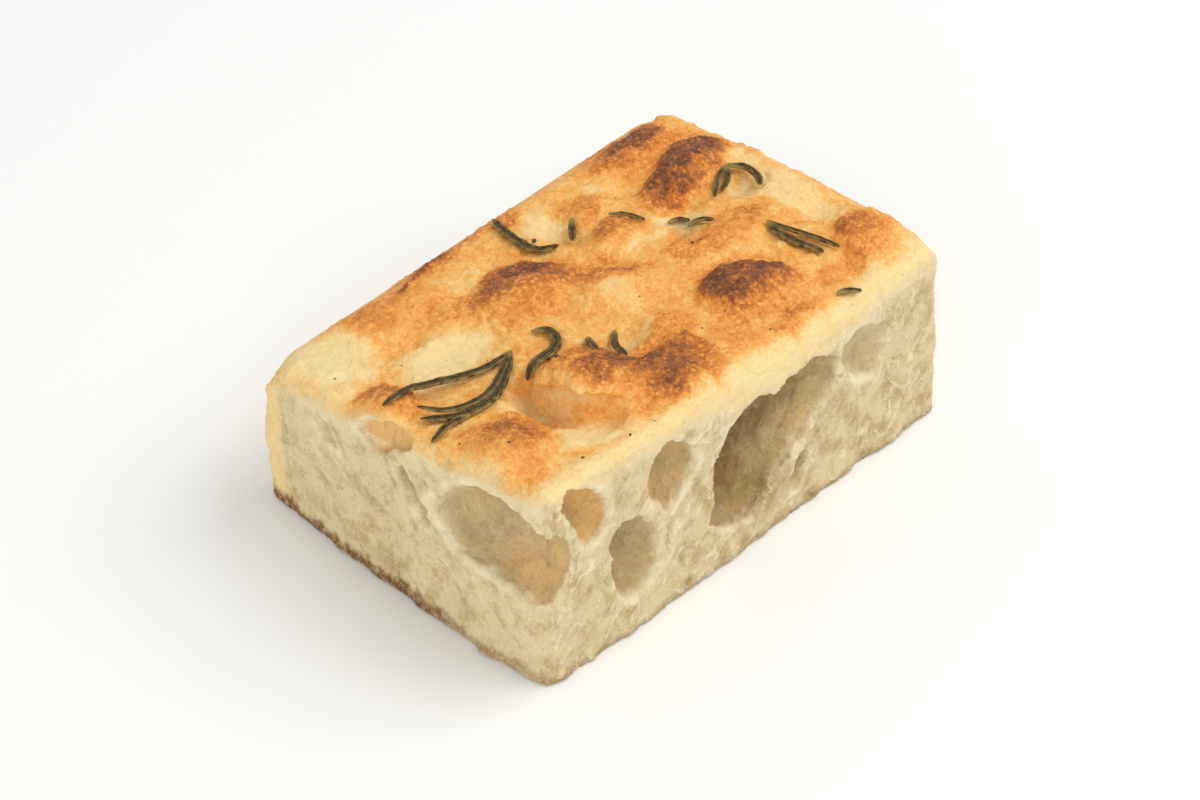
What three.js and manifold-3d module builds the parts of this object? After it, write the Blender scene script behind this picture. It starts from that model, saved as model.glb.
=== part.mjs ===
// Rosemary focaccia: a thick piece from the corner of a tray loaf, baked with rosemary leaves on its crust.
// Two sides are cut and show the open crumb. The other two baked against the tray, so the crust rolls over them.
// Millimetres, +Z up. The slice rests on z = 0. The long cut side looks along -Y and the short cut side along -X.

import * as THREE from "three";
import { ImprovedNoise } from "three/addons/math/ImprovedNoise.js";
import { mergeVertices } from "three/addons/utils/BufferGeometryUtils.js";
import Module from "manifold-3d";

const wasm = await Module();
wasm.setup();

// Driving dimensions of the slice
const LENGTH = 120;
const WIDTH = 83;
const LONG_CELLS = 72;
const WIDE_CELLS = 50;
const TALL_CELLS = 20;
const FACET_TOLERANCE = 0.12;

// Height of the crust at three stations along X, for rows at the long cut side, mid-width and the tray side
const CROWN = [
  [50.0, 46.3, 43.6],
  [42.0, 44.3, 45.3],
  [36.8, 38.9, 41.2],
];

// How far each corner of the plan stands off the plain rectangle, because the slice was cut by hand
const CORNER_SHIFT = {
  front: [-1.0, -1.2],
  right: [1.1, -0.6],
  left: [-0.2, 1.3],
  back: [0.1, 0],
};
const PLAN_RADIUS = { front: 2, right: 4.5, left: 3.5, back: 9 };

// Edges where the crust rolls over into the sides that baked against the tray
const ROLL_BACK = 8;
const ROLL_END = 4.5;
const TRAY_FOOT = 2;
const TRAY_BULGE = 0.8;

// The knife pressed the long cut edge of the crust down, most near the middle
const CUT_ROLL = 1.4;
const CUT_SAG = 5;
const CUT_SAG_AT = 8;
const CUT_SAG_ALONG = 42;

// How far the foot of each cut side stands out, at its two ends and its middle
const CUT_FOOT = { long: [1.2, 1.8, 1.8], short: [-0.6, 1.7, 1.4] };
const CRUMB_RELIEF = 0.55;
const CRUMB_GRAIN = 5.5;

// Blisters of the crust, and, with a negative rise, the pits that fingers pressed into the dough
const BLISTERS = [
  { x: 39.5, y: 12, along: 14, across: 9, turn: 5, rise: 4.5 },
  { x: 40, y: 30, along: 15, across: 6.5, turn: 0, rise: 2.5 },
  { x: -12.5, y: 10.5, along: 15, across: 10, turn: -8, rise: 3.8 },
  { x: 0.5, y: -3, along: 13, across: 9, turn: -25, rise: 3 },
  { x: -3, y: -20, along: 9, across: 8, turn: 0, rise: 1.8 },
  { x: 18.5, y: -23, along: 13, across: 10, turn: -15, rise: 4.2 },
  { x: -28, y: -22.5, along: 9.5, across: 8.5, turn: 0, rise: 4.8 },
  { x: -15, y: -30, along: 12, across: 9, turn: -15, rise: 4 },
  { x: -53, y: -24, along: 11, across: 11, turn: 0, rise: 3.8 },
  { x: -56.5, y: 6, along: 9.5, across: 8, turn: -10, rise: 3.6 },
  { x: 51, y: -28.5, along: 12, across: 11, turn: 0, rise: 3.2 },
  { x: 13.5, y: 10, along: 9, across: 7, turn: 10, rise: 2.2 },
  { x: 32, y: -8.5, along: 14, across: 8, turn: 0, rise: 1.6 },
  { x: -30, y: 29, along: 19, across: 7, turn: 0, rise: 1.3 },
  { x: 18, y: 20.5, along: 13, across: 6, turn: 0, rise: 1.8 },
  { x: -15, y: -38.5, along: 12, across: 8, turn: 10, rise: 1.5 },
  { x: -39, y: 21, along: 10, across: 5.5, turn: 0, rise: -2 },
  { x: -33.5, y: -14.5, along: 6, across: 10, turn: -10, rise: -3.4 },
  { x: 46, y: 2, along: 8, across: 5, turn: 0, rise: -2.6 },
  { x: 32, y: 6.5, along: 7, across: 5, turn: 0, rise: -2.6 },
  { x: 9.5, y: 21, along: 6, across: 8, turn: 0, rise: -2.2 },
  { x: -10, y: -10, along: 9, across: 5, turn: 10, rise: -2.8 },
  { x: -31, y: 8.5, along: 14, across: 9, turn: 0, rise: -1.8 },
  { x: 48, y: -14.5, along: 9, across: 6, turn: 0, rise: -1.6 },
  { x: 39, y: -32.5, along: 10, across: 7, turn: 0, rise: -1.4 },
  { x: -34, y: -31, along: 9, across: 6, turn: 0, rise: -1.5 },
  { x: 34, y: 20.5, along: 14, across: 4.5, turn: 0, rise: -1.8 },
  { x: -61, y: 40, along: 8, across: 7, turn: 0, rise: -3.5 },
];

// Air pockets that the knife opened. "side" is the cut side, "at" the place along it, "up" the height.
const POCKETS = [
  { side: "long", at: -3.5, up: 23, wide: 8.5, tall: 14.3, deep: 15, lean: 12 },
  { side: "long", at: 13, up: 28.5, wide: 16.5, tall: 8.6, deep: 9.5, lean: 0 },
  { side: "long", at: -24, up: 33.8, wide: 6.3, tall: 9.3, deep: 6.5, lean: -8 },
  { side: "long", at: -35.6, up: 18.8, wide: 5.8, tall: 11.5, deep: 6.5, lean: -10 },
  { side: "long", at: -49.3, up: 40.2, wide: 5.2, tall: 8, deep: 4.6, lean: -34 },
  { side: "long", at: 13.6, up: 10.2, wide: 2.5, tall: 6.2, deep: 2.6, lean: 26 },
  { side: "long", at: 34.8, up: 30.5, wide: 5.6, tall: 7.5, deep: 4.4, lean: -28 },
  { side: "short", at: 30, up: 30.3, wide: 19, tall: 8.8, deep: 7.5, lean: 24 },
  { side: "short", at: -2.5, up: 39, wide: 7.6, tall: 3.8, deep: 5, lean: -20 },
];
const POCKET_ROUND = 18;
const POCKET_RINGS = 12;
const POCKET_UNEVEN = 0.09;

// Shallow dents, where the crumb was only stretched
const DENTS = [
  { side: "long", at: 44, up: 14, wide: 4, tall: 6, deep: 1.8, lean: 30 },
  { side: "long", at: -54, up: 3, wide: 5, tall: 4, deep: 1.6, lean: 0 },
  { side: "long", at: -21, up: 9, wide: 4, tall: 4, deep: 1.2, lean: 0 },
  { side: "short", at: -22.5, up: 27.5, wide: 7, tall: 3.4, deep: 2, lean: 20 },
  { side: "short", at: 3, up: 28, wide: 4, tall: 8.5, deep: 2.6, lean: -32 },
  { side: "short", at: -3.5, up: 14, wide: 6, tall: 9, deep: 2.4, lean: -35 },
  { side: "short", at: -24, up: 12, wide: 6, tall: 6, deep: 1.4, lean: 0 },
];

// Rosemary. Each leaf is a path over the crust in plan, with its width; leaves of one sprig share a stem.
const LEAF_GAP = 0.35;
const LEAF_THICK = 1.1;
const LEAF_STEPS = 12;
const LEAF_SIDES = 6;
const LEAF_STIFFNESS = 0.75;
const LEAF_BASE = 0.03;
const LEAF_TIP = 0.05;
const SPRIGS = {
  sprig_front: [
    { width: 2.3, lift: 0.5, path: [[-28, -1], [-35, -1.5], [-41.5, 0.5], [-50, 4], [-59.5, 4.5]] },
    { width: 2.3, lift: 0.4, path: [[-28, -1], [-34, -5.5], [-41.5, -9], [-49.5, -8.5], [-55.5, -2.5]] },
    { width: 1.6, lift: 0.9, path: [[-28.5, -1], [-35, -4.5], [-43, -7.5], [-49.5, -6], [-54, 0]] },
    { width: 1.7, lift: 0.2, path: [[-48, -8.7], [-53, -8.5], [-58.5, -9.5]] },
  ],
  leaf_twisted: [
    { width: 2.5, lift: 0.6, path: [[-21, 0], [-19, -2], [-19.5, -5], [-24, -8.5], [-29, -8.5], [-32, -9.5]] },
  ],
  leaf_tucked_short: [
    { width: 1.8, lift: 0.4, path: [[-14.5, -9.5], [-17, -14], [-17.5, -16]] },
  ],
  leaf_tucked_long: [
    { width: 1.7, lift: 0.4, path: [[-9.5, -12], [-14, -17.5], [-14.5, -21]] },
  ],
  leaf_tray_side: [
    { width: 2.4, lift: 0.4, path: [[4.5, 37], [1.5, 31], [0, 24], [0, 19], [4, 16]] },
  ],
  leaf_straight: [
    { width: 1.8, lift: 0.3, path: [[12, 20], [10, 18.5], [6.5, 14.5]] },
  ],
  leaf_thin: [
    { width: 1, lift: 0.2, path: [[18, 15.5], [20, 12], [22, 8]] },
  ],
  leaf_pit_upper: [
    { width: 1.3, lift: 0.2, path: [[24, 3], [26.5, 2.5], [27.5, 0.5]] },
  ],
  leaf_pit_lower: [
    { width: 1.4, lift: 0.3, path: [[26, -0.5], [28.5, -1.5], [29.5, -4.5]] },
  ],
  sprig_back: [
    { width: 1.7, lift: 0.4, path: [[47, 7], [42, 5.5], [37, 2]] },
    { width: 1.5, lift: 0.3, path: [[47, 7], [45.5, 5], [39.5, 2]] },
    { width: 2.3, lift: 0.5, path: [[47, 7], [50, 4.5], [50, 1.5], [47, -3]] },
  ],
  sprig_end: [
    { width: 2.2, lift: 0.3, path: [[38, -12.5], [37, -15.5], [37, -22], [39, -27.5]] },
    { width: 1.6, lift: 0.5, path: [[38, -12.5], [38.5, -16.5], [40, -22.5], [42.5, -29]] },
  ],
  leaf_cut_edge: [
    { width: 1.5, lift: 0.2, path: [[30, -37.5], [32, -38.5], [33.5, -41]] },
  ],
};

const CRUST = new THREE.MeshStandardMaterial({ color: 0xe0a560, roughness: 0.5, metalness: 0 });
const ROSEMARY = new THREE.MeshStandardMaterial({ color: 0x4d4728, roughness: 0.6, metalness: 0 });

const noise = new ImprovedNoise();
const clamp = THREE.MathUtils.clamp;
const lerp = THREE.MathUtils.lerp;

// Bell of height 1 that falls to nothing at the rim of a turned ellipse
function bell(dx, dy, along, across, turnDegrees) {
  const turn = THREE.MathUtils.degToRad(turnDegrees);
  const u = (dx * Math.cos(turn) + dy * Math.sin(turn)) / along;
  const v = (dy * Math.cos(turn) - dx * Math.sin(turn)) / across;
  const inside = Math.max(0, 1 - u * u - v * v);
  return inside * inside;
}

// Quadratic curve through three values at -1, 0 and 1
function throughThree([a, b, c], t) {
  return b + ((c - a) * t) / 2 + ((a + c - 2 * b) * t * t) / 2;
}

// Height of the crust over a place in plan, before it rolls over the tray sides
function crownHeight(x, y) {
  const rows = CROWN.map((row) => throughThree(row, clamp((2 * x) / LENGTH, -1, 1)));
  return throughThree(rows, clamp((2 * y) / WIDTH, -1, 1));
}

// How far the crust has rolled down at a distance from the edge
function rollDrop(distance, radius) {
  const t = clamp(1 - distance / radius, 0, 1);
  return radius * (1 - Math.sqrt(1 - t * t));
}

// Height of the finished crust over a place in plan
function crustHeight(x, y) {
  let height = crownHeight(x, y);
  for (const b of BLISTERS) height += b.rise * bell(x - b.x, y - b.y, b.along, b.across, b.turn);
  const pressed = CUT_ROLL + CUT_SAG * bell(x - CUT_SAG_AT, 0, CUT_SAG_ALONG, 1, 0);
  const rolls = [
    rollDrop(WIDTH / 2 - y, ROLL_BACK),
    rollDrop(LENGTH / 2 - x, ROLL_END),
    rollDrop(WIDTH / 2 + y, pressed),
    rollDrop(LENGTH / 2 + x, CUT_ROLL),
  ];
  return height - Math.max(...rolls);
}

// Rounds a corner of the plan: the square of side "radius" at the corner becomes a quarter disc
function roundCorner(x, y, cornerX, cornerY, radius) {
  const signX = Math.sign(cornerX);
  const signY = Math.sign(cornerY);
  const u = (x - cornerX) * signX + radius;
  const v = (y - cornerY) * signY + radius;
  if (u <= 0 || v <= 0) return [x, y];
  const shrink = Math.max(u, v) / Math.hypot(u, v);
  return [cornerX + signX * (u * shrink - radius), cornerY + signY * (v * shrink - radius)];
}

// The plain rectangle's place (x, y) in the plan of the hand-cut slice
function planPoint(x, y) {
  const halfX = LENGTH / 2;
  const halfY = WIDTH / 2;
  let p = [x, y];
  p = roundCorner(...p, -halfX, -halfY, PLAN_RADIUS.front);
  p = roundCorner(...p, halfX, -halfY, PLAN_RADIUS.right);
  p = roundCorner(...p, -halfX, halfY, PLAN_RADIUS.left);
  p = roundCorner(...p, halfX, halfY, PLAN_RADIUS.back);
  const s = x / LENGTH + 0.5;
  const t = y / WIDTH + 0.5;
  const shift = [0, 1].map((k) =>
    lerp(
      lerp(CORNER_SHIFT.front[k], CORNER_SHIFT.right[k], s),
      lerp(CORNER_SHIFT.left[k], CORNER_SHIFT.back[k], s),
      t,
    ),
  );
  return [p[0] + shift[0], p[1] + shift[1]];
}

// How far a cut side stands out at a place along it and a height
function cutOffset(side, at, up, topHeight) {
  const halfRun = (side === "long" ? LENGTH : WIDTH) / 2;
  const low = clamp(1 - up / topHeight, 0, 1);
  let out = throughThree(CUT_FOOT[side], clamp(at / halfRun, -1, 1)) * low;
  out += CRUMB_RELIEF * noise.noise(at / CRUMB_GRAIN, up / CRUMB_GRAIN, side === "long" ? 3.7 : 9.1);
  for (const d of DENTS)
    if (d.side === side) out -= d.deep * bell(at - d.at, up - d.up, d.wide, d.tall, -d.lean);
  return out;
}

// The point of a cut side at a place along it and a height
function cutFacePoint(side, at, up) {
  const onLong = side === "long";
  const [x, y] = onLong ? [at, -WIDTH / 2] : [-LENGTH / 2, -at];
  const [px, py] = planPoint(x, y);
  const out = cutOffset(side, at, up, crustHeight(x, y));
  return onLong ? [px, py - out, up] : [px - out, py, up];
}

// The loaf without its pockets: a box grid, each vertex moved to its place on the slice
function loafGeometry() {
  const box = new THREE.BoxGeometry(LENGTH, WIDTH, 1, LONG_CELLS, WIDE_CELLS, TALL_CELLS);
  box.translate(0, 0, 0.5);
  box.deleteAttribute("normal");
  box.deleteAttribute("uv");
  const loaf = mergeVertices(box);
  const position = loaf.getAttribute("position");
  const atEdge = (value, edge) => Math.abs(value - edge) < 1e-3;
  for (let i = 0; i < position.count; i += 1) {
    const x = position.getX(i);
    const y = position.getY(i);
    const level = position.getZ(i);
    let [px, py] = planPoint(x, y);
    const top = crustHeight(x, y);
    const z = level * top;
    if (atEdge(y, -WIDTH / 2)) py -= cutOffset("long", px, z, top);
    if (atEdge(x, -LENGTH / 2)) px -= cutOffset("short", -py, z, top);
    const foot = level < 1e-3 ? TRAY_FOOT : 0;
    const bulge = TRAY_BULGE * Math.sin(Math.PI * level) - foot;
    if (atEdge(y, WIDTH / 2)) py += bulge;
    if (atEdge(x, LENGTH / 2)) px += bulge;
    position.setXYZ(i, px, py, z);
  }
  return loaf;
}

// An uneven bubble that stands in a cut side
function pocketGeometry(pocket, index) {
  const bubble = new THREE.SphereGeometry(1, POCKET_ROUND, POCKET_RINGS);
  bubble.deleteAttribute("normal");
  bubble.deleteAttribute("uv");
  const geometry = mergeVertices(bubble);
  const position = geometry.getAttribute("position");
  for (let i = 0; i < position.count; i += 1) {
    const [x, y, z] = [position.getX(i), position.getY(i), position.getZ(i)];
    const swell = 1 + POCKET_UNEVEN * 2 * noise.noise(1.7 * x + 5 * index, 1.7 * y, 1.7 * z);
    position.setXYZ(i, x * swell, y * swell, z * swell);
  }
  geometry.scale(pocket.wide, pocket.deep, pocket.tall);
  geometry.rotateY(THREE.MathUtils.degToRad(-pocket.lean));
  if (pocket.side === "short") geometry.rotateZ(-Math.PI / 2);
  return geometry.translate(...cutFacePoint(pocket.side, pocket.at, pocket.up));
}

// Heights at which a stiff leaf rests: it bridges the hollows between the places that hold it up
function restingHeights(points) {
  const ground = points.map(([x, y]) => {
    const near = [[0, 0], [1, 0], [-1, 0], [0, 1], [0, -1]];
    return Math.max(...near.map(([dx, dy]) => crustHeight(x + dx, y + dy)));
  });
  return ground.map((height, i) => {
    let bridge = height;
    for (let a = 0; a <= i; a += 1)
      for (let b = i; b < ground.length; b += 1)
        if (b > a) bridge = Math.max(bridge, lerp(ground[a], ground[b], (i - a) / (b - a)));
    return lerp(height, bridge, LEAF_STIFFNESS);
  });
}

// One leaf: rings of a flat oval section along its path, with a groove on top, closed at both ends
function leafGeometry(leaf) {
  const plan = new THREE.CatmullRomCurve3(leaf.path.map(([x, y]) => new THREE.Vector3(x, y, 0)));
  const places = plan.getSpacedPoints(LEAF_STEPS).map((p) => [p.x, p.y]);
  const rest = restingHeights(places);
  const line = places.map(([x, y], i) => {
    const t = i / LEAF_STEPS;
    const raised = LEAF_GAP + LEAF_THICK / 2 + leaf.lift * (0.3 + t * t);
    return new THREE.Vector3(x, y, rest[i] + raised);
  });
  const corners = [];
  line.forEach((centre, i) => {
    const ahead = line[Math.min(i + 1, LEAF_STEPS)].clone().sub(line[Math.max(i - 1, 0)]).normalize();
    const side = new THREE.Vector3().crossVectors(ahead, new THREE.Vector3(0, 0, 1)).normalize();
    const up = new THREE.Vector3().crossVectors(side, ahead);
    const t = i / LEAF_STEPS;
    const swell = Math.sqrt(Math.sin(Math.PI * lerp(LEAF_BASE, 1 - LEAF_TIP, t)));
    for (let k = 0; k < LEAF_SIDES; k += 1) {
      const angle = (2 * Math.PI * k) / LEAF_SIDES;
      const across = (Math.cos(angle) * leaf.width * swell) / 2;
      const high = (Math.sin(angle) * LEAF_THICK * Math.sqrt(swell)) / 2;
      corners.push(centre.clone().addScaledVector(side, across).addScaledVector(up, high));
    }
  });
  const faces = [];
  for (let i = 0; i < LEAF_STEPS; i += 1)
    for (let k = 0; k < LEAF_SIDES; k += 1) {
      const [a, b] = [i * LEAF_SIDES + k, i * LEAF_SIDES + ((k + 1) % LEAF_SIDES)];
      const [c, d] = [a + LEAF_SIDES, b + LEAF_SIDES];
      faces.push(a, c, b, b, c, d);
    }
  const last = LEAF_STEPS * LEAF_SIDES;
  for (let k = 1; k < LEAF_SIDES - 1; k += 1) {
    faces.push(0, k, k + 1);
    faces.push(last, last + k + 1, last + k);
  }
  return new THREE.BufferGeometry().setFromPoints(corners).setIndex(faces);
}

// A closed geometry as a solid that can be joined and cut
function solidOf(geometry) {
  const merged = mergeVertices(geometry, 1e-4);
  const made = new wasm.Manifold(
    new wasm.Mesh({
      numProp: 3,
      vertProperties: new Float32Array(merged.getAttribute("position").array),
      triVerts: new Uint32Array(merged.index.array),
    }),
  );
  return made;
}

function meshOf(solid, name, material) {
  const { vertProperties, triVerts } = solid.getMesh();
  const geometry = new THREE.BufferGeometry()
    .setAttribute("position", new THREE.BufferAttribute(vertProperties, 3))
    .setIndex(new THREE.BufferAttribute(triVerts, 1));
  geometry.computeVertexNormals();
  const mesh = new THREE.Mesh(geometry, material);
  mesh.name = name;
  return mesh;
}

function breadMesh() {
  let bread = solidOf(loafGeometry());
  POCKETS.forEach((pocket, index) => {
    bread = bread.subtract(solidOf(pocketGeometry(pocket, index)));
  });
  return meshOf(bread.simplify(FACET_TOLERANCE), "focaccia", CRUST);
}

function sprigMesh([name, leaves]) {
  const solid = leaves.map((leaf) => solidOf(leafGeometry(leaf))).reduce((all, one) => all.add(one));
  return meshOf(solid, name, ROSEMARY);
}

const slice = new THREE.Group();
slice.add(breadMesh());
Object.entries(SPRIGS).forEach((sprig) => slice.add(sprigMesh(sprig)));

// The frame's origin is the middle of the underside of the whole piece
const middle = new THREE.Box3().setFromObject(slice).getCenter(new THREE.Vector3());
slice.position.set(-middle.x, -middle.y, 0);

export default slice;
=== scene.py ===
# %% [markdown]
# # A slice of rosemary focaccia
# The slice comes from the corner of a tray loaf. Its crust is blistered and oily, two of its sides
# are cut and show the open crumb, and the other two baked against the tray. Rosemary leaves lie on
# top, baked on. This lesson builds it in cells: the camera and the light, the bread, its finish,
# the rosemary, and the burnt specks. Lengths are typed in millimetres and turned into metres where
# a mesh is made.

# %% Open the frame
import math
import random
import bpy
import bmesh
import numpy as np
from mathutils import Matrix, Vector, noise
from mathutils.kdtree import KDTree


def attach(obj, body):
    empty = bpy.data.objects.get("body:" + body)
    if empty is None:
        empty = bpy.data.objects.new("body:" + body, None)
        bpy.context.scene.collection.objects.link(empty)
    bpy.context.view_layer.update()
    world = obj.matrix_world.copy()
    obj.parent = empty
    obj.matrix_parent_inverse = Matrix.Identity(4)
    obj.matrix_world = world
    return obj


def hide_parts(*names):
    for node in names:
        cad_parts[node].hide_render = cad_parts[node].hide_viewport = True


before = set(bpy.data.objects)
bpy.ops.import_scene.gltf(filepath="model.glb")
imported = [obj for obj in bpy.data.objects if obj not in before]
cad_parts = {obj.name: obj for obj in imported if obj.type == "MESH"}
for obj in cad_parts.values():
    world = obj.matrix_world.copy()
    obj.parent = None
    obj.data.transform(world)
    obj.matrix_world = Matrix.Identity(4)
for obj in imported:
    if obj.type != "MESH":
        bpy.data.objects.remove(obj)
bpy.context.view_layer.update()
MM = 0.001

# %% [markdown]
# ## Camera
# A long lens looks down at the slice's front corner from 40 degrees above the table, so both cut
# sides and the whole crust show. The camera could be aimed by a constraint, but a place worked out
# from two angles and a distance is easier to check and keeps no link to another object.

# %% Camera
CAMERA_AZIMUTH = math.radians(-46.7)
CAMERA_ELEVATION = math.radians(40)
CAMERA_DISTANCE = 752 * MM
CAMERA_TARGET = Vector((-0.243 * MM, 0.473 * MM, 13.5 * MM))

level_share = math.cos(CAMERA_ELEVATION)
back_x = math.sin(CAMERA_AZIMUTH) * level_share
back_y = -math.cos(CAMERA_AZIMUTH) * level_share
back = Vector((back_x, back_y, math.sin(CAMERA_ELEVATION)))
camera_data = bpy.data.cameras.new("camera")
camera_data.lens = 105
camera_data.sensor_width = 36
camera = bpy.data.objects.new("camera", camera_data)
camera.location = CAMERA_TARGET + back * CAMERA_DISTANCE
camera.rotation_mode = "QUATERNION"
camera.rotation_quaternion = (-back).to_track_quat("-Z", "Y")
bpy.context.scene.collection.objects.link(camera)
bpy.context.scene.camera = camera
print("camera, m:", [round(v, 3) for v in camera.location])

# %% [markdown]
# ## Light and floor
# Food is shown in broad soft light, so that the crumb keeps its pale colour and the oily crust
# gets wide gentle highlights. One large lamp stands above and to the right, a second one fills
# from the left, a weak one stands behind, and a white world lifts the shadows. A spot or a sun
# would do it with fewer settings, but both cast hard shadows. The floor is one pale plane.

# %% Light and floor
FLOOR_SIDE = 6.0
ROOM_LIGHT = 0.48
# place in metres, side in metres, power in watts
LAMPS = {
    "key_lamp": ((0.45, -0.35, 0.75), 0.8, 5.9),
    "fill_lamp": ((-0.7, -0.3, 0.3), 0.8, 3.2),
    "back_lamp": ((0.0, 0.7, 0.6), 0.6, 1.0),
}

for lamp_name, (place, side, power) in LAMPS.items():
    lamp_data = bpy.data.lights.new(lamp_name, "AREA")
    lamp_data.size = side
    lamp_data.energy = power
    lamp = bpy.data.objects.new(lamp_name, lamp_data)
    lamp.location = place
    lamp.rotation_mode = "QUATERNION"
    lamp.rotation_quaternion = (-Vector(place)).to_track_quat("-Z", "Y")
    bpy.context.scene.collection.objects.link(lamp)

world = bpy.data.worlds.new("soft_room")
world.use_nodes = True
world.node_tree.nodes["Background"].inputs["Color"].default_value = (1, 1, 1, 1)
world.node_tree.nodes["Background"].inputs["Strength"].default_value = ROOM_LIGHT
bpy.context.scene.world = world
bpy.context.scene.view_settings.view_transform = "Standard"

bpy.ops.object.select_all(action="DESELECT")
bpy.ops.mesh.primitive_plane_add(size=FLOOR_SIDE, location=(0, 0, 0))
floor = bpy.context.object
floor.name = "floor"
floor_finish = bpy.data.materials.new("pale_floor")
floor_finish.use_nodes = True
floor_shader = floor_finish.node_tree.nodes["Principled BSDF"]
floor_shader.inputs["Base Color"].default_value = (0.9, 0.905, 0.885, 1)
floor_shader.inputs["Roughness"].default_value = 0.9
floor.data.materials.append(floor_finish)
print("lamps:", len(LAMPS))

# %% [markdown]
# ## The slice's form
# The loaf was a low slab of dough, pressed with fingertips before it baked. What rose between the
# presses became blisters, and what was pressed stayed pale and low. So the crust's height is a
# sum: a gentle crown, a bell for each blister, and a bell turned downwards for each pit. It could
# be sculpted by hand too, but bells in a list can be moved one at a time against a photo.

# %% Sizes of the slice
LENGTH = 120.0
WIDTH = 83.0
# where the plain rectangle's middle lies in the frame
MIDDLE = np.array([0.507, 0.473, 0.0])
# height of the crown: three places along X in each row, from the long cut side to the far side
CROWN = [[50.0, 46.3, 43.6], [42.0, 44.3, 45.3], [36.8, 38.9, 41.2]]
# how far each corner stands off the rectangle in plan, and its radius
CORNER_SHIFT = {"front": (-1.0, -1.2), "right": (1.1, -0.6), "left": (-0.2, 1.3), "back": (0.1, 0)}
PLAN_RADIUS = {"front": 3.2, "right": 4.5, "left": 5, "back": 9}
# radius of the roll from crust to side, at the far side, the far end and the cuts
ROLL_BACK = 8.0
ROLL_END = 4.5
CUT_ROLL = 1.8
# the tray sides draw in at the foot and bulge above it
TRAY_FOOT = 2.0
TRAY_BULGE = 0.8
# the knife pressed the long cut edge down: how far, where, and over what half-length
CUT_SAG = 5.0
CUT_SAG_AT = 8.0
CUT_SAG_ALONG = 42.0
# how far the foot of each cut side stands out, at its start, middle and end
CUT_FOOT = {"long": (1.2, 1.8, 1.8), "short": (-0.6, 1.7, 1.4)}
print("plain plan, mm:", LENGTH, "by", WIDTH)

# %% [markdown]
# A blister is dough that a bubble lifted, and a pit is where a fingertip pressed it and the oil
# gathered. Both are ellipses in plan. Modelled as lumps on a mesh they would be slow to move, and
# here each is one row.

# %% Blisters and pits
# x, y, half-length, half-width, turn in degrees, rise
BLISTERS = [
    (42, 14.5, 15, 10, 12, 4.6),
    (40, 30, 15, 6.5, 0, 2.5),
    (-12.5, 10.5, 15, 10, -8, 3.8),
    (0.5, -3, 13, 9, -25, 3),
    (-3, -20, 9, 8, 0, 1.8),
    (18.5, -23, 13, 10, -15, 4.2),
    (-25, -19.5, 11, 13, 0, 4.8),
    (-15, -30, 12, 9, -15, 4),
    (-53, -24, 11, 11, 0, 3.8),
    (-56.5, 6, 9.5, 8, -10, 3.6),
    (51, -28.5, 12, 11, 0, 3.2),
    (13.5, 10, 9, 7, 10, 2.2),
    (32, -8.5, 14, 8, 0, 1.6),
    (-30, 29, 19, 7, 0, 1.3),
    (18, 20.5, 13, 6, 0, 1.8),
    (-15, -38.5, 12, 8, 10, 1.5),
]
# the fingertip pits, in the same order
PITS = [
    (-39, 21, 10, 5.5, 0, -2),
    (-34.5, -14.5, 7, 9, -10, -3.4),
    (-37, -22, 6, 8, -20, -2.0),
    (46, 2, 8, 5, 0, -2.6),
    (32, 6.5, 7, 5, 0, -2.6),
    (9.5, 21, 6, 8, 0, -2.2),
    (-9, -15.5, 8, 5, 0, -2.8),
    (-31, 8.5, 14, 9, 0, -1.8),
    (48, -14.5, 9, 6, 0, -1.6),
    (39, -32.5, 10, 7, 0, -1.4),
    (-34, -31, 9, 6, 0, -1.5),
    (34, 20.5, 14, 4.5, 0, -1.8),
    (-61, 40, 10, 9, 0, -4),
    (-37, 18.5, 7, 3, -15, -1.4),
]
print("blisters:", len(BLISTERS), "| pits:", len(PITS))

# %% [markdown]
# Some blisters end in a crisp ledge, where the skin folded or tore while it dried. A bell is too
# soft for that, and a crease on a mesh would need edges that follow it. So each ledge is a step
# along its own line, which fades at both ends.

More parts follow.
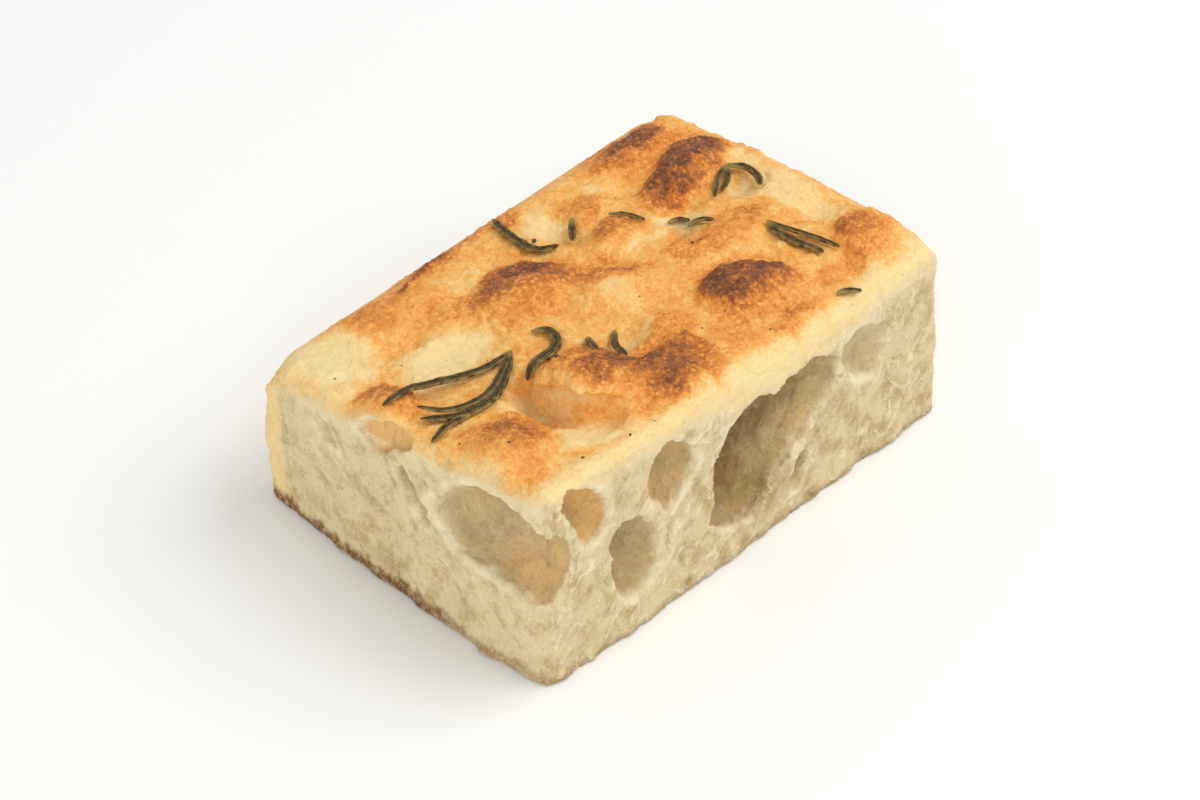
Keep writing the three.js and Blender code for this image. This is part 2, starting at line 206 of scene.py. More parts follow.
# %% Ledges
# height of the step, how much of it stands above the skin, its width, how far it reaches, how much
# the skin is browned behind it, and its line, walked with the blister on the left
LEDGES = {
    "torn_skin": (
        6.0, 0.3, 0.45, 6, 0.0,
        [(-29.5, -8), (-32.2, -11), (-32.6, -15), (-33, -20.5), (-31.8, -24.5), (-28.5, -27.5),
         (-25, -30.5)],
    ),
    "right_dome": (
        1.3, 0.5, 0.8, 4, 0.2,
        [(29, -28.5), (30, -23.5), (26.5, -20), (23.5, -16.8), (20, -14.2), (15, -14.6), (10.2, -16.5),
         (8.6, -20), (11, -25), (16, -30)],
    ),
    "long_dome": (
        1.3, 0.5, 0.9, 4, 0.14,
        [(3.5, 9.5), (0.8, 12.8), (-1.2, 16.5), (-4, 20.3), (-8.8, 22.8), (-14, 22.3), (-20, 19.5)],
    ),
    "second_lobe": (
        1.0, 0.5, 0.7, 2, 0.16,
        [(7.5, -9), (8.2, -3), (6.8, 1.5), (4.8, 5), (1.5, 7)],
    ),
    "far_ridge": (
        1.6, 0.5, 0.9, 5, 0.22,
        [(55, 11), (56.5, 16), (54.5, 21.5), (50.5, 24), (46, 24), (42, 22.8), (38.3, 20.8), (33, 18.8),
         (28, 17.5)],
    ),
    "left_dome": (
        1.4, 0.5, 0.6, 4, 0.2,
        [(-51.5, -3), (-50.5, 3), (-49.4, 8.6), (-50.2, 12.8), (-53, 14.6), (-56.6, 14.6), (-60, 13.8)],
    ),
    "front_dome": (
        0.9, 0.5, 0.9, 4, 0.16,
        [(-46, -31), (-43.6, -26), (-43.4, -21), (-45, -15.5), (-48, -11.8), (-52, -10.8), (-57, -12.6)],
    ),
    "burnt_dome": (
        1.4, 0.5, 0.8, 4, 0.2,
        [(-1, -36), (0.2, -31), (0.4, -27), (-1.3, -23.6), (-5.5, -22.8), (-9.3, -23.3), (-13.8, -24.6),
         (-14.4, -20.7), (-15.3, -16.6), (-17.1, -13.3), (-22, -11), (-26, -9.3)],
    ),
    "corner_dome": (
        1.0, 0.5, 0.9, 4, 0.12,
        [(55, -20.5), (50.5, -21), (46, -23), (43, -27), (42, -32), (44, -37)],
    ),
    "wrinkled_dome": (
        0.9, 0.5, 0.8, 3, 0.12,
        [(20, 4), (23, 9), (21.5, 14.5), (16.5, 16.5), (11.5, 14.8), (8, 11)],
    ),
    "tray_dome": (
        0.8, 0.5, 0.9, 4, 0.14,
        [(55, 30.5), (50, 28.5), (44, 27.2), (38, 28), (33, 31), (30, 35.5)],
    ),
    "split_skin": (
        1.2, 0.7, 0.3, 1.3, 0.4,
        [(-27.5, 31.5), (-25.4, 32.3), (-19.6, 34.2), (-12.8, 35.7), (-7.7, 35.3)],
    ),
}
print("ledges:", len(LEDGES))

# %% [markdown]
# The crust's height over any place is one function, because the block, the zones and the leaves
# all ask for it. A height image could hold it too, but it would blur every ledge.

# %% Height of the crust
def bell(dx, dy, along, across, turn_degrees):
    """1 in the middle of a turned ellipse, falling to 0 at its rim."""
    turn = math.radians(turn_degrees)
    u = (dx * math.cos(turn) + dy * math.sin(turn)) / along
    v = (dy * math.cos(turn) - dx * math.sin(turn)) / across
    return np.clip(1 - u * u - v * v, 0, None) ** 2


def beside_line(x, y, line):
    """Distance to a line, positive on its left, and how far along it lies, from 0 to 1."""
    best = np.full(np.shape(x), 1e9)
    side = np.ones(np.shape(x))
    along = np.zeros(np.shape(x))
    for k, ((ax, ay), (bx, by)) in enumerate(zip(line[:-1], line[1:])):
        run_x, run_y = bx - ax, by - ay
        share = ((x - ax) * run_x + (y - ay) * run_y) / (run_x**2 + run_y**2)
        held = np.clip(share, 0, 1)
        off_x, off_y = x - ax - held * run_x, y - ay - held * run_y
        away = np.hypot(off_x, off_y)
        nearer = away < best
        best = np.where(nearer, away, best)
        side = np.where(nearer, np.sign(run_x * off_y - run_y * off_x), side)
        along = np.where(nearer, (k + held) / (len(line) - 1), along)
    return best * side, along


def ledge(x, y, step, above, width, reach, _, line):
    """Raised just left of a line and lowered just right of it."""
    beside, along = beside_line(x, y, line)
    ends = np.clip(np.sin(math.pi * np.clip(along, 0.02, 0.98)) * 2.2, 0, 1)
    share = np.where(beside > 0, above, 1 - above)
    return step * share * ends * np.tanh(beside / width) * np.exp(-((beside / reach) ** 2))


def through_three(values, t):
    """Quadratic curve through three values at -1, 0 and 1."""
    a, b, c = values
    return b + (c - a) * t / 2 + (a + c - 2 * b) * t * t / 2


def roll_drop(distance, radius):
    """How far the crust has rolled down at a distance from the edge."""
    t = np.clip(1 - distance / radius, 0, 1)
    return radius * (1 - np.sqrt(1 - t * t))


def crust_height(x, y):
    """Height of the crust over a place in plan."""
    rows = [through_three(row, np.clip(2 * x / LENGTH, -1, 1)) for row in CROWN]
    height = through_three(rows, np.clip(2 * y / WIDTH, -1, 1))
    for bx, by, along, across, turn, rise in BLISTERS + PITS:
        height = height + rise * bell(x - bx, y - by, along, across, turn)
    for shape in LEDGES.values():
        height = height + ledge(x, y, *shape)
    pressed = CUT_ROLL + CUT_SAG * bell(x - CUT_SAG_AT, 0 * x, CUT_SAG_ALONG, 1, 0)
    drop = np.maximum(roll_drop(WIDTH / 2 - y, ROLL_BACK), roll_drop(LENGTH / 2 - x, ROLL_END))
    drop = np.maximum(drop, roll_drop(WIDTH / 2 + y, pressed))
    return height - np.maximum(drop, roll_drop(LENGTH / 2 + x, CUT_ROLL))


print("crust height at the middle, mm:", round(float(crust_height(np.zeros(1), np.zeros(1))[0]), 1))

# %% [markdown]
# The slice was cut by hand, so its plan isn't a true rectangle: each corner stands a little off
# and has its own radius, and the cut sides lean out at the foot, where the knife pressed. A
# lattice could bend a plain block too, but a formula also answers where a point came from.

# %% Plan of the slice
def corner_shift(x, y):
    """How far a place in plan moves with the four hand-cut corners."""
    s = x / LENGTH + 0.5
    t = y / WIDTH + 0.5
    moved = []
    for k in (0, 1):
        near = CORNER_SHIFT["front"][k] * (1 - s) + CORNER_SHIFT["right"][k] * s
        far = CORNER_SHIFT["left"][k] * (1 - s) + CORNER_SHIFT["back"][k] * s
        moved.append(near * (1 - t) + far * t)
    return moved


def round_corner(x, y, corner_x, corner_y, radius):
    """The square of side radius at a corner becomes a quarter disc."""
    sign_x = math.copysign(1, corner_x)
    sign_y = math.copysign(1, corner_y)
    u = (x - corner_x) * sign_x + radius
    v = (y - corner_y) * sign_y + radius
    inside = (u > 0) & (v > 0)
    shrink = np.where(inside, np.maximum(u, v) / np.maximum(np.hypot(u, v), 1e-9), 1)
    new_x = np.where(inside, corner_x + sign_x * (u * shrink - radius), x)
    new_y = np.where(inside, corner_y + sign_y * (v * shrink - radius), y)
    return new_x, new_y


def plan_point(x, y):
    """Place in the hand-cut plan of a place in the plain rectangle."""
    px, py = round_corner(x, y, -LENGTH / 2, -WIDTH / 2, PLAN_RADIUS["front"])
    px, py = round_corner(px, py, LENGTH / 2, -WIDTH / 2, PLAN_RADIUS["right"])
    px, py = round_corner(px, py, -LENGTH / 2, WIDTH / 2, PLAN_RADIUS["left"])
    px, py = round_corner(px, py, LENGTH / 2, WIDTH / 2, PLAN_RADIUS["back"])
    shift_x, shift_y = corner_shift(x, y)
    return px + shift_x, py + shift_y


def plain_place(x, y):
    """The other way round: the plain rectangle's place for one in the hand-cut plan."""
    shift_x, shift_y = corner_shift(x, y)
    return x - shift_x, y - shift_y


# Shallow dents of the cut sides, where the crumb was only stretched:
# side, place along it, height, half-width, half-height, depth, lean in degrees
DENTS = [
    ("long", 44, 14, 4, 6, 1.8, 30),
    ("long", -54, 3, 5, 4, 1.6, 0),
    ("long", -21, 9, 4, 4, 1.2, 0),
    ("short", -3.5, 14, 7, 11, 2.6, -40),
    ("short", 14, 10, 8, 9, 2, -40),
    ("short", -24, 12, 7, 7, 1.6, 0),
]


def cut_offset(side, at, up, top):
    """How far a cut side stands out at a place along it and a height."""
    half_run = (LENGTH if side == "long" else WIDTH) / 2
    low = np.clip(1 - up / top, 0, 1)
    out = through_three(CUT_FOOT[side], np.clip(at / half_run, -1, 1)) * low
    for dent_side, dent_at, dent_up, wide, tall, deep, lean in DENTS:
        if dent_side == side:
            out = out - deep * bell(at - dent_at, up - dent_up, wide, tall, -lean)
    return out


print("dents in the cut sides:", len(DENTS))

# %% [markdown]
# ## The bread's block
# A cube of the slice's size is cut into cells under a millimetre, by subdividing its edges one
# direction at a time, and each vertex then moves to its place on the slice. A sculpted block would
# do as well, but this keeps the crust, the sides and the flat underside where the sums above put
# them.

# %% Block of bread
CELL = 0.65
BLOCK_HEIGHT = 44.0


def only_object(piece):
    """Makes one object the only selected and the active one."""
    bpy.ops.object.select_all(action="DESELECT")
    piece.select_set(True)
    bpy.context.view_layer.objects.active = piece


def cut_along(piece, axis, cuts):
    """Cuts every edge that runs along one axis into equal lengths."""
    only_object(piece)
    bpy.ops.object.mode_set(mode="EDIT")
    bpy.ops.mesh.select_mode(type="EDGE")
    bpy.ops.mesh.select_all(action="DESELECT")
    mesh = bmesh.from_edit_mesh(piece.data)
    for edge in mesh.edges:
        run = (edge.verts[0].co - edge.verts[1].co).normalized()
        if abs(run[axis]) > 0.9:
            edge.select = True
    mesh.select_flush_mode()
    bmesh.update_edit_mesh(piece.data)
    bpy.ops.mesh.subdivide(number_cuts=cuts)
    bpy.ops.object.mode_set(mode="OBJECT")


def vectors_of(piece, kind="co"):
    """Three numbers for each vertex of a mesh: its place, or its normal."""
    flat = np.empty(len(piece.data.vertices) * 3)
    piece.data.vertices.foreach_get(kind, flat)
    return flat.reshape(-1, 3)


def points_of(piece):
    """The piece's vertices in millimetres, in the slice's own plan."""
    return vectors_of(piece) / MM - MIDDLE


def set_points(piece, points):
    """Moves the piece's vertices to places in millimetres."""
    piece.data.vertices.foreach_set("co", ((points + MIDDLE) * MM).ravel())
    piece.data.update()


bpy.ops.object.select_all(action="DESELECT")
bpy.ops.mesh.primitive_cube_add(size=1, location=(0, 0, 0))
bread = bpy.context.object
bread.name = "bread"
for axis, run in enumerate((LENGTH, WIDTH, BLOCK_HEIGHT)):
    cut_along(bread, axis, round(run / CELL) - 1)

unit = vectors_of(bread)
plain_x = unit[:, 0] * LENGTH
plain_y = unit[:, 1] * WIDTH
level = unit[:, 2] + 0.5
top = crust_height(plain_x, plain_y)
block_x, block_y = plan_point(plain_x, plain_y)
block_z = level * top
EDGE = 0.4999
on_long = unit[:, 1] < -EDGE
on_short = unit[:, 0] < -EDGE
tray = TRAY_BULGE * np.sin(math.pi * level) - np.where(level < 0.001, TRAY_FOOT, 0)
block_y = block_y - np.where(on_long, cut_offset("long", block_x, block_z, top), 0)
block_x = block_x - np.where(on_short, cut_offset("short", -block_y, block_z, top), 0)
block_y = block_y + np.where(unit[:, 1] > EDGE, tray, 0)
block_x = block_x + np.where(unit[:, 0] > EDGE, tray, 0)
set_points(bread, np.column_stack([block_x, block_y, block_z]))
print("block of bread:", len(bread.data.polygons), "faces")

# %% [markdown]
# ## Air pockets
# Where the knife met a large bubble, the cut side has a pocket with a torn, irregular rim. Each
# pocket starts as a sphere. Its outline on the cut side goes through a few points read off the
# real rim, and its deepest part is drawn to one side, so that one wall is steep and the other
# slopes gently. Sculpting could hollow the pockets too, but a rim in a list can be moved.

# %% Air pockets
# side, depth, where the deepest part is drawn to, how golden its wall is, and its rim as places
# along the side and heights
POCKETS = {
    "great_pocket": (
        "long", 16, (-4, 2), 0.2,
        [(-14.2, 13.4), (-12.8, 18), (-10.6, 29.6), (-7.5, 36), (-2, 37.4), (6.6, 35.4), (14.5, 37),
         (24.2, 36.8), (28.2, 33.3), (28.6, 27.8), (21.2, 22.8), (13.1, 17), (5, 11.5), (-2, 7), (-9.3, 8.6)],
    ),
    "arched_pocket": (
        "long", 5.5, (-1, 0.5), 0.3,
        [(-31.8, 33.2), (-30.7, 40.3), (-27.7, 42.3), (-22.6, 40.9), (-17.4, 37), (-16.7, 32.1),
         (-19.4, 28.3), (-22.2, 25.8), (-25.4, 23.8), (-28.9, 27.9)],
    ),
    "tall_pocket": (
        "long", 5.5, (-2, 1), 0.15,
        [(-42.4, 23), (-41.8, 28), (-38.9, 30.4), (-34.8, 29.8), (-30.8, 26), (-28.8, 20.5), (-29.4, 14),
         (-31.6, 9.6), (-34.5, 8), (-38.2, 8.6), (-41.2, 13)],
    ),
    "golden_pocket": (
        "long", 5, (-1, 1), 0.8,
        [(-56.6, 46.4), (-55, 47.8), (-51, 47), (-46, 43.4), (-43, 37.5), (-43.4, 32.6), (-46.4, 29.6),
         (-49.6, 29.4), (-51.6, 32), (-53, 37), (-54.6, 41.5)],
    ),
    "slot": (
        "long", 3.2, (-0.6, 0), 0.1,
        [(11.4, 5.5), (11.2, 12), (13.1, 16), (15.7, 16), (16.9, 12.6), (16, 9.1), (14, 5)],
    ),
    "corner_slot": (
        "long", 2.0, (-1, 0), 0.0,
        [(26.5, 32), (28.6, 35.4), (33, 37.4), (38, 36.4), (41.6, 32), (42.4, 26), (39, 21.4), (33.5, 22.4),
         (29, 26.6)],
    ),
    "trough": (
        "short", 8, (3, 2), 0.1,
        [(9.7, 30), (12.1, 34.5), (16.1, 38.2), (20.3, 41), (25.4, 42.2), (32.1, 42), (38, 40.4),
         (43.5, 38.2), (48, 34), (48.6, 29), (45.5, 23), (39, 20.6), (32, 21), (25, 20.8), (18, 22),
         (12, 25)],
    ),
    "groove": (
        "short", 3.2, (1.2, 1.2), 0.2,
        [(0.4, 33), (2.2, 35.2), (4.6, 33.3), (7, 29.5), (9, 25.5), (9.6, 22), (7.4, 21.4), (4.6, 24.4),
         (2, 28.1)],
    ),
    "left_dent": (
        "short", 2, (1, 1), 0.2,
        [(-24.5, 31.4), (-21, 32.8), (-18, 30.2), (-16, 26.6), (-19.5, 25.8), (-23.5, 28)],
    ),
    "blister_window": (
        "short", 3.0, (1.5, -0.3), 1.0,
        [(-11.5, 36), (-10, 39.5), (-5, 41.8), (0, 42.8), (4.6, 42), (4.2, 39), (-0.5, 36.6), (-7.5, 34)],
    ),
}
print("air pockets:", len(POCKETS))

# %% [markdown]
# The sphere's outline is stretched to the rim, noise makes it uneven, and a Boolean takes it out of
# the block. Pushing the block's own vertices in would be simpler, but it would stretch the cells on
# the steep walls.

# %% Cut the pockets
# how much softer the sloping wall is, and how uneven the walls are, in wide and in small lumps
POCKET_SOFT = 0.13
POCKET_UNEVEN = 0.08
POCKET_TORN = 0.025


def modify(piece, kind, **settings):
    """Gives the piece a modifier with its settings and applies it."""
    only_object(piece)
    bpy.ops.object.modifier_add(type=kind)
    modifier = piece.modifiers[-1]
    for setting, value in settings.items():
        setattr(modifier, setting, value)
    bpy.ops.object.modifier_apply(modifier=modifier.name)


def face_points(side, at, up):
    """Points of a cut side at places along it and heights."""
    plain_x = at if side == "long" else np.full(at.shape, -LENGTH / 2)
    plain_y = np.full(at.shape, -WIDTH / 2) if side == "long" else -at
    px, py = plan_point(plain_x, plain_y)
    out = cut_offset(side, at, up, crust_height(plain_x, plain_y))
    if side == "long":
        return np.column_stack([px, py - out, up])
    return np.column_stack([px - out, py, up])


def cut_pocket(index, side, deep, drawn, _, rim):
    """Takes one uneven bubble out of the bread. Its index seeds the noise."""
    bpy.ops.object.select_all(action="DESELECT")
    bpy.ops.mesh.primitive_uv_sphere_add(segments=96, ring_count=64, radius=1)
    bubble = bpy.context.object
    places = vectors_of(bubble)
    uneven = []
    for place in places:
        seed = Vector(place) + Vector((5.3 * index, 0, 0))
        slow = noise.fractal(seed * 1.6, 0.7, 2.0, 4)
        uneven.append(1 + POCKET_UNEVEN * slow + POCKET_TORN * noise.fractal(seed * 9, 0.7, 2.0, 3))
    centre = np.mean(rim, axis=0)
    away = np.array(rim) - centre
    rim_turn = np.arctan2(away[:, 1], away[:, 0])
    order = np.argsort(rim_turn)
    turn = np.arctan2(places[:, 2], places[:, 0])
    reach = np.interp(turn, rim_turn[order], np.hypot(*away[order].T), period=2 * math.pi)
    reach = reach * np.hypot(places[:, 0], places[:, 2]) * uneven
    soft = np.clip(-(np.cos(turn) * drawn[0] + np.sin(turn) * drawn[1]) / math.hypot(*drawn), 0, 1)
    down = np.sign(places[:, 1]) * np.abs(places[:, 1]) ** (1 + POCKET_SOFT * deep * soft)
    inward = np.clip(down, 0, 1)
    at = centre[0] + reach * np.cos(turn) + drawn[0] * inward
    up = centre[1] + reach * np.sin(turn) + drawn[1] * inward
    shaped = face_points(side, at, up)
    shaped[:, 1 if side == "long" else 0] += deep * down * uneven
    set_points(bubble, shaped)
    modify(bread, "BOOLEAN", operation="DIFFERENCE", solver="MANIFOLD", object=bubble)
    bpy.data.objects.remove(bubble, do_unlink=True)


for pocket_index, pocket in enumerate(POCKETS.values()):
    cut_pocket(pocket_index, *pocket)
print("with", len(POCKETS), "air pockets:", len(bread.data.polygons), "faces")

# %% [markdown]
# ## One even skin
# The block's cells are stretched near the corners and crowded where the pockets meet. A voxel
# remesh gives the whole slice one even skin of small quads, which every finer shape then moves.
# More subdividing would make the skin finer too, but not even.

# %% Even skin
SKIN_GRAIN = 0.42

modify(bread, "REMESH", mode="VOXEL", voxel_size=SKIN_GRAIN * MM)
print("even skin:", len(bread.data.vertices), "vertices")

# %% [markdown]
# ## Where is crust, and where is crumb?
# Every point of the skin lies a known depth under the crown and behind each side. Those depths
# tell crust from crumb, and they're also what colours the bread later. Faces could be picked by
# hand instead, but then nothing could fade from one zone to the next. The walls of the pockets are
# stretched films, so a Smooth modifier evens them out and leaves everything else alone.

# %% Zones of the bread
def ramp(value, low, high):
    """Smooth step from 0 at low to 1 at high, or the other way if low is larger."""
    t = np.clip((value - low) / (high - low), 0, 1)
    return t * t * (3 - 2 * t)


def zones_of(points, facing_up):
    """How much each point belongs to the crust, the tray sides, the crumb and a pocket."""
    x, y = plain_place(points[:, 0], points[:, 1])
    z = points[:, 2]
    height = crust_height(np.clip(x, -LENGTH / 2, LENGTH / 2), np.clip(y, -WIDTH / 2, WIDTH / 2))
    under = height - z
    to_tray = np.minimum(WIDTH / 2 - y, LENGTH / 2 - x)
    behind_long = y + WIDTH / 2 + cut_offset("long", x, z, np.maximum(height, 1))
    behind_short = x + LENGTH / 2 + cut_offset("short", -y, z, np.maximum(height, 1))
    behind = np.minimum(behind_long, behind_short)
    outer = ramp(under, 4.0, 2.5) * ramp(facing_up, 0.1, 0.4) * ramp(behind, 1.5, 3.0)
    crust = np.maximum(ramp(under, 2.4, 0.4), outer)
    far_corner = (x > LENGTH / 2 - PLAN_RADIUS["back"]) & (y > WIDTH / 2 - PLAN_RADIUS["back"])
    tray_side = np.maximum(ramp(to_tray, 1.6, 0.6), far_corner)
    shell = np.maximum(np.maximum(crust, tray_side), ramp(z, 0.6, 0.2))
    return {
        "x": x,
        "y": y,
        "crust": crust,
        "tray_side": tray_side,
        "crumb": 1 - shell,
        "pocket": ramp(behind, 0.5, 1.6) * (1 - shell),
        "behind": behind,
        "under": under,
        "on_short": ramp(behind_short - behind_long, 2, -2),
        "from_cut": np.minimum(y + WIDTH / 2, x + LENGTH / 2),
    }


points = points_of(bread)
zones = zones_of(points, vectors_of(bread, "normal")[:, 2])
inside = bread.vertex_groups.new(name="pocket_walls")
wall_share = zones["pocket"] * ramp(zones["behind"], 1.5, 4.0)
for k in np.flatnonzero(wall_share > 0.05):
    inside.add([int(k)], float(wall_share[k]), "REPLACE")
modify(bread, "SMOOTH", factor=0.5, iterations=30, vertex_group="pocket_walls")
points = points_of(bread)
normals = vectors_of(bread, "normal")
zones = zones_of(points, normals[:, 2])
print("crumb share of the skin:", round(float((zones["crumb"] > 0.5).mean()), 2))

# %% [markdown]
# ## Browning
# A crust browns first where it stands nearest the oven's heat, on the tops of the blisters, and
# stays pale in the pits and along the cut. Each patch is a soft ellipse, and the patches add up.
# The sum becomes a vertex attribute: the shader turns it into colour, and the relief below uses
# it too, because a browned skin is rougher than a pale one. A painted image could only colour it.

# %% Browning
# x, y, half-length, half-width, turn in degrees, and how much it browns or, in PALE, how much less
TOASTED = [
    (44, 15.5, 14, 9, 15, 0.3),
    (47.5, 18.5, 9.5, 6.5, 15, 0.36),
    (34, 12.5, 11, 7, 15, 0.34),
    (42, 32.5, 15, 7, 5, 0.26),
    (44, 32, 10.5, 5.5, 5, 0.36),
    (-13, 10, 18, 12, -8, 0.13),
    (-9.5, 14.5, 15, 9, -22, 0.26),
    (-5.5, 16.5, 6, 5, -30, 0.1),
    (4, 2.5, 10, 7, -35, 0.17),
    (19, -22.5, 15, 12, -10, 0.22),
    (18.5, -21.5, 10.5, 7.5, -10, 0.24),
    (-21, -14, 9, 7, 0, 0.22),
    (-24.5, -21.5, 7.5, 6, 0, 0.34),
    (-13, -28, 14, 12, -10, 0.24),
    (-12, -29, 8, 6, -20, 0.08),
    (-17, -22, 4, 7, 0, 0.08),
    (-16, -36, 14, 7, 0, 0.2),
    (-0.5, -20, 7, 5.5, -30, 0.16),
    (-48, -22, 12, 11, 0, 0.14),
    (-47, -19.5, 9, 7, 0, 0.1),
    (-57, 9, 8, 7, 0, 0.14),
    (50, -28, 10, 9, 0, 0.14),
    (50, -27, 7, 6.5, 0, 0.04),
    (28, -6, 17, 7, -5, 0.16),
    (39, -6, 8, 5, 0, 0.08),
    (19, 24, 7, 6, 0, 0.16),
    (15, 12, 7, 5.5, 0, 0.16),
    (-33, 31, 16, 7, 0, 0.12),
    (-40, 36.5, 11, 4.5, 0, 0.1),
    (-14, 37, 14, 4, 0, 0.22),
    (3, 36, 10, 4, 0, 0.2),
    (-24, 21, 9, 5, 0, 0.1),
    (6, -32, 12, 7, 0, 0.1),
    (20, -36, 10, 4, 0, 0.2),
    (36, -33, 10, 5, 0, 0.1),
    (38, 25, 12, 3.5, 0, 0.04),
    (-57, -33, 6, 5, 0, 0.08),
]
PALE = [
    (-33.5, -18, 4, 8, 0, 0.1),
    (-36, 9, 15, 10, 0, 0.24),
    (-50, 30, 13, 13, -40, 0.24),
    (9, 26, 6, 9, 0, 0.16),
    (29, 4, 7, 5, 0, 0.2),
    (51, -8, 7, 16, 0, 0.18),
    (53, 9, 5, 6, 0, 0.14),
    (-9, -16, 6.5, 4, -10, 0.08),
    (-1, -10, 7, 2.8, -25, 0.04),
    (-1, -4.5, 4, 5, 0, 0.12),
    (-37, -31, 9, 7, 0, 0.2),
    (-56, 20, 9, 6, 0, 0.14),
    (20, 4, 8, 3, 0, 0.1),
    (27, 26, 8, 4, 0, 0.08),
    (-38, -12, 5, 5, 0, 0.14),
    (45.6, 2.8, 3.8, 2.6, 0, 0.18),
]
# how brown the crust is between the patches, and how wide its pale band by the long cut is
GOLDEN = 0.35
CUT_BAND = 7.0


def patch(dx, dy, along, across, turn_degrees):
    """Like a bell, but with a broader top."""
    return np.clip(1.7 * bell(dx, dy, along, across, turn_degrees) ** 0.75, 0, 1)


def browning_of(x, y, wander):
    """How brown the crust is over a place in plan, from 0 pale to 1 nearly burnt."""
    wide_x = x + wander[0]
    wide_y = y + wander[1]
    brown = np.full(x.shape, GOLDEN)
    for sign, places in ((1, TOASTED), (-1, PALE)):
        for px, py, along, across, turn, amount in places:
            brown = brown + sign * amount * patch(wide_x - px, wide_y - py, along, across, turn)
    for _, _, _, reach, amount, line in LEDGES.values():
        beside, along = beside_line(x + 0.35 * wander[0], y + 0.35 * wander[1], line)
        inward = ramp(beside, -0.3, 0.7) * ramp(beside, reach * 2.2, 0.7)
        brown = brown + amount * inward * np.clip(np.sin(math.pi * along) * 2.2, 0, 1)
    brown = brown * (0.25 + 0.75 * ramp(wide_y + WIDTH / 2, 0, CUT_BAND))
    return np.clip(brown * (0.7 + 0.3 * ramp(x + LENGTH / 2, 0, 4)), 0, 0.9)


def noise_of(points, size, octaves=3, seed=0.0):
    """Soft noise of about -1 to 1 whose lumps are about size millimetres."""
    moved = points / size + seed
    return np.array([noise.fractal(Vector(p), 0.8, 2.0, octaves) for p in moved])


def wander_of(points):
    """How far the outlines of the patches stray sideways, in millimetres."""
    wide = [2.2 * noise_of(points, 7.0, 4, seed) for seed in (61.0, 73.0)]
    narrow = [0.6 * noise_of(points, 1.5, 2, seed) for seed in (85.0, 97.0)]
    return [wide[0] + narrow[0], wide[1] + narrow[1]]


browning = browning_of(zones["x"], zones["y"], wander_of(points))
print("browning, least and most:", round(float(browning.min()), 2), round(float(browning.max()), 2))

# %% [markdown]
# ## Relief of the crust
# The crust isn't smooth. It is puffed into lobes a few millimetres wide with creases between them,
# it has fine wrinkles where it shrank, and on the browned tops there is a rash of tiny blisters
# about a millimetre wide. Puffs and wrinkles are noise, and the tiny blisters are small domes at
# random places, thickest where it is brown. Displace modifiers could do the noise but not the
# domes, so the heights are added up first, and all of it moves the skin once, along its normals.

# %% Relief of the crust
BLISTER_TRIES = 12000
# tiny blisters grow where the crust is browner than this
BLISTER_FROM = 0.36


def search_tree(points):
    """A tree that finds the points near a place."""
    tree = KDTree(len(points))
    for k, p in enumerate(points):
        tree.insert(p, k)
    tree.balance()
    return tree


def domes(points, centres, radii, lift):
    """Height of the highest sphere cap over each point. Spheres stand lift of their radius below."""
    near_points = search_tree(points)
    high = np.zeros(len(points))
    for centre, radius in zip(centres, radii):
        for _, k, distance in near_points.find_range(centre, radius):
            cap = math.sqrt(max(radius * radius - distance * distance, 0)) - lift * radius
            if cap > high[k]:
                high[k] = cap
    return high


dice = random.Random(7)
upward = zones["crust"] * ramp(normals[:, 2], 0.05, 0.4)
drift = np.column_stack([noise_of(points, 9.0, 2, seed) for seed in (41.0, 44.0, 47.0)])
puffs = 0.75 * np.abs(noise_of(points, 6.5, 3, 3.1)) + 0.3 * np.abs(noise_of(points, 2.6, 2, 8.4))
puffs = puffs * ramp(WIDTH / 2 - points[:, 1], -2, 9)
folded = (points + 4.0 * drift) @ np.array([[0.25, 0.1, 0], [-0.45, 1.0, 0], [0, 0, 0.6]])
folds = -0.3 * np.abs(noise_of(folded, 1.7, 2, 5.7))
ripples = -0.2 * np.abs(noise_of((points + 2.5 * drift) * np.array([1, 0.35, 1]), 1.3, 2, 6.6))
on_crust = np.flatnonzero(upward > 0.6)
tiny_centres = []
tiny_radii = []
for _ in range(BLISTER_TRIES):
    k = on_crust[dice.randrange(len(on_crust))]
    if dice.random() < 2.0 * (browning[k] - BLISTER_FROM):
        tiny_centres.append(points[k])
        tiny_radii.append(dice.uniform(0.45, 1.15))
tiny = domes(points + 0.3 * drift, tiny_centres, tiny_radii, 0.7)
relief = upward * (puffs + folds * ramp(browning, 0.75, 0.25) + ripples + 0.8 * tiny - 0.25)
print("tiny blisters:", len(tiny_centres), "| relief, mm:", round(float(relief.max()), 2))

# %% [markdown]
# One blister tore open, and its skin hangs over the hollow beside it. A height can't overhang, so
# that skin is pushed sideways as well. Where a blister sank back, its skin is crumpled. Cloth could
# be simulated for both, but one push and one more noise look the same.

# %% Torn and crumpled skin
# how far the torn skin is pushed over the hollow, and how thick the part is that moves
FLAP_OVER = 2.2
FLAP_DEPTH = 2.0
# Where the skin is crumpled: x, y, half-length, half-width, turn in degrees, how deep
CRINKLED = [
    (-26.5, -17, 9, 11, 0, 0.9),
    (15, 12, 9, 7, 0, 0.8),
    (-1, 2, 9, 7, -20, 0.5),
    (-37, -9, 6, 7, 0, 0.6),
    (50, -26, 9, 8, 0, 0.5),
    (30, -6, 11, 6, 0, 0.4),
    (-33, 26, 16, 8, 0, 0.35),
]

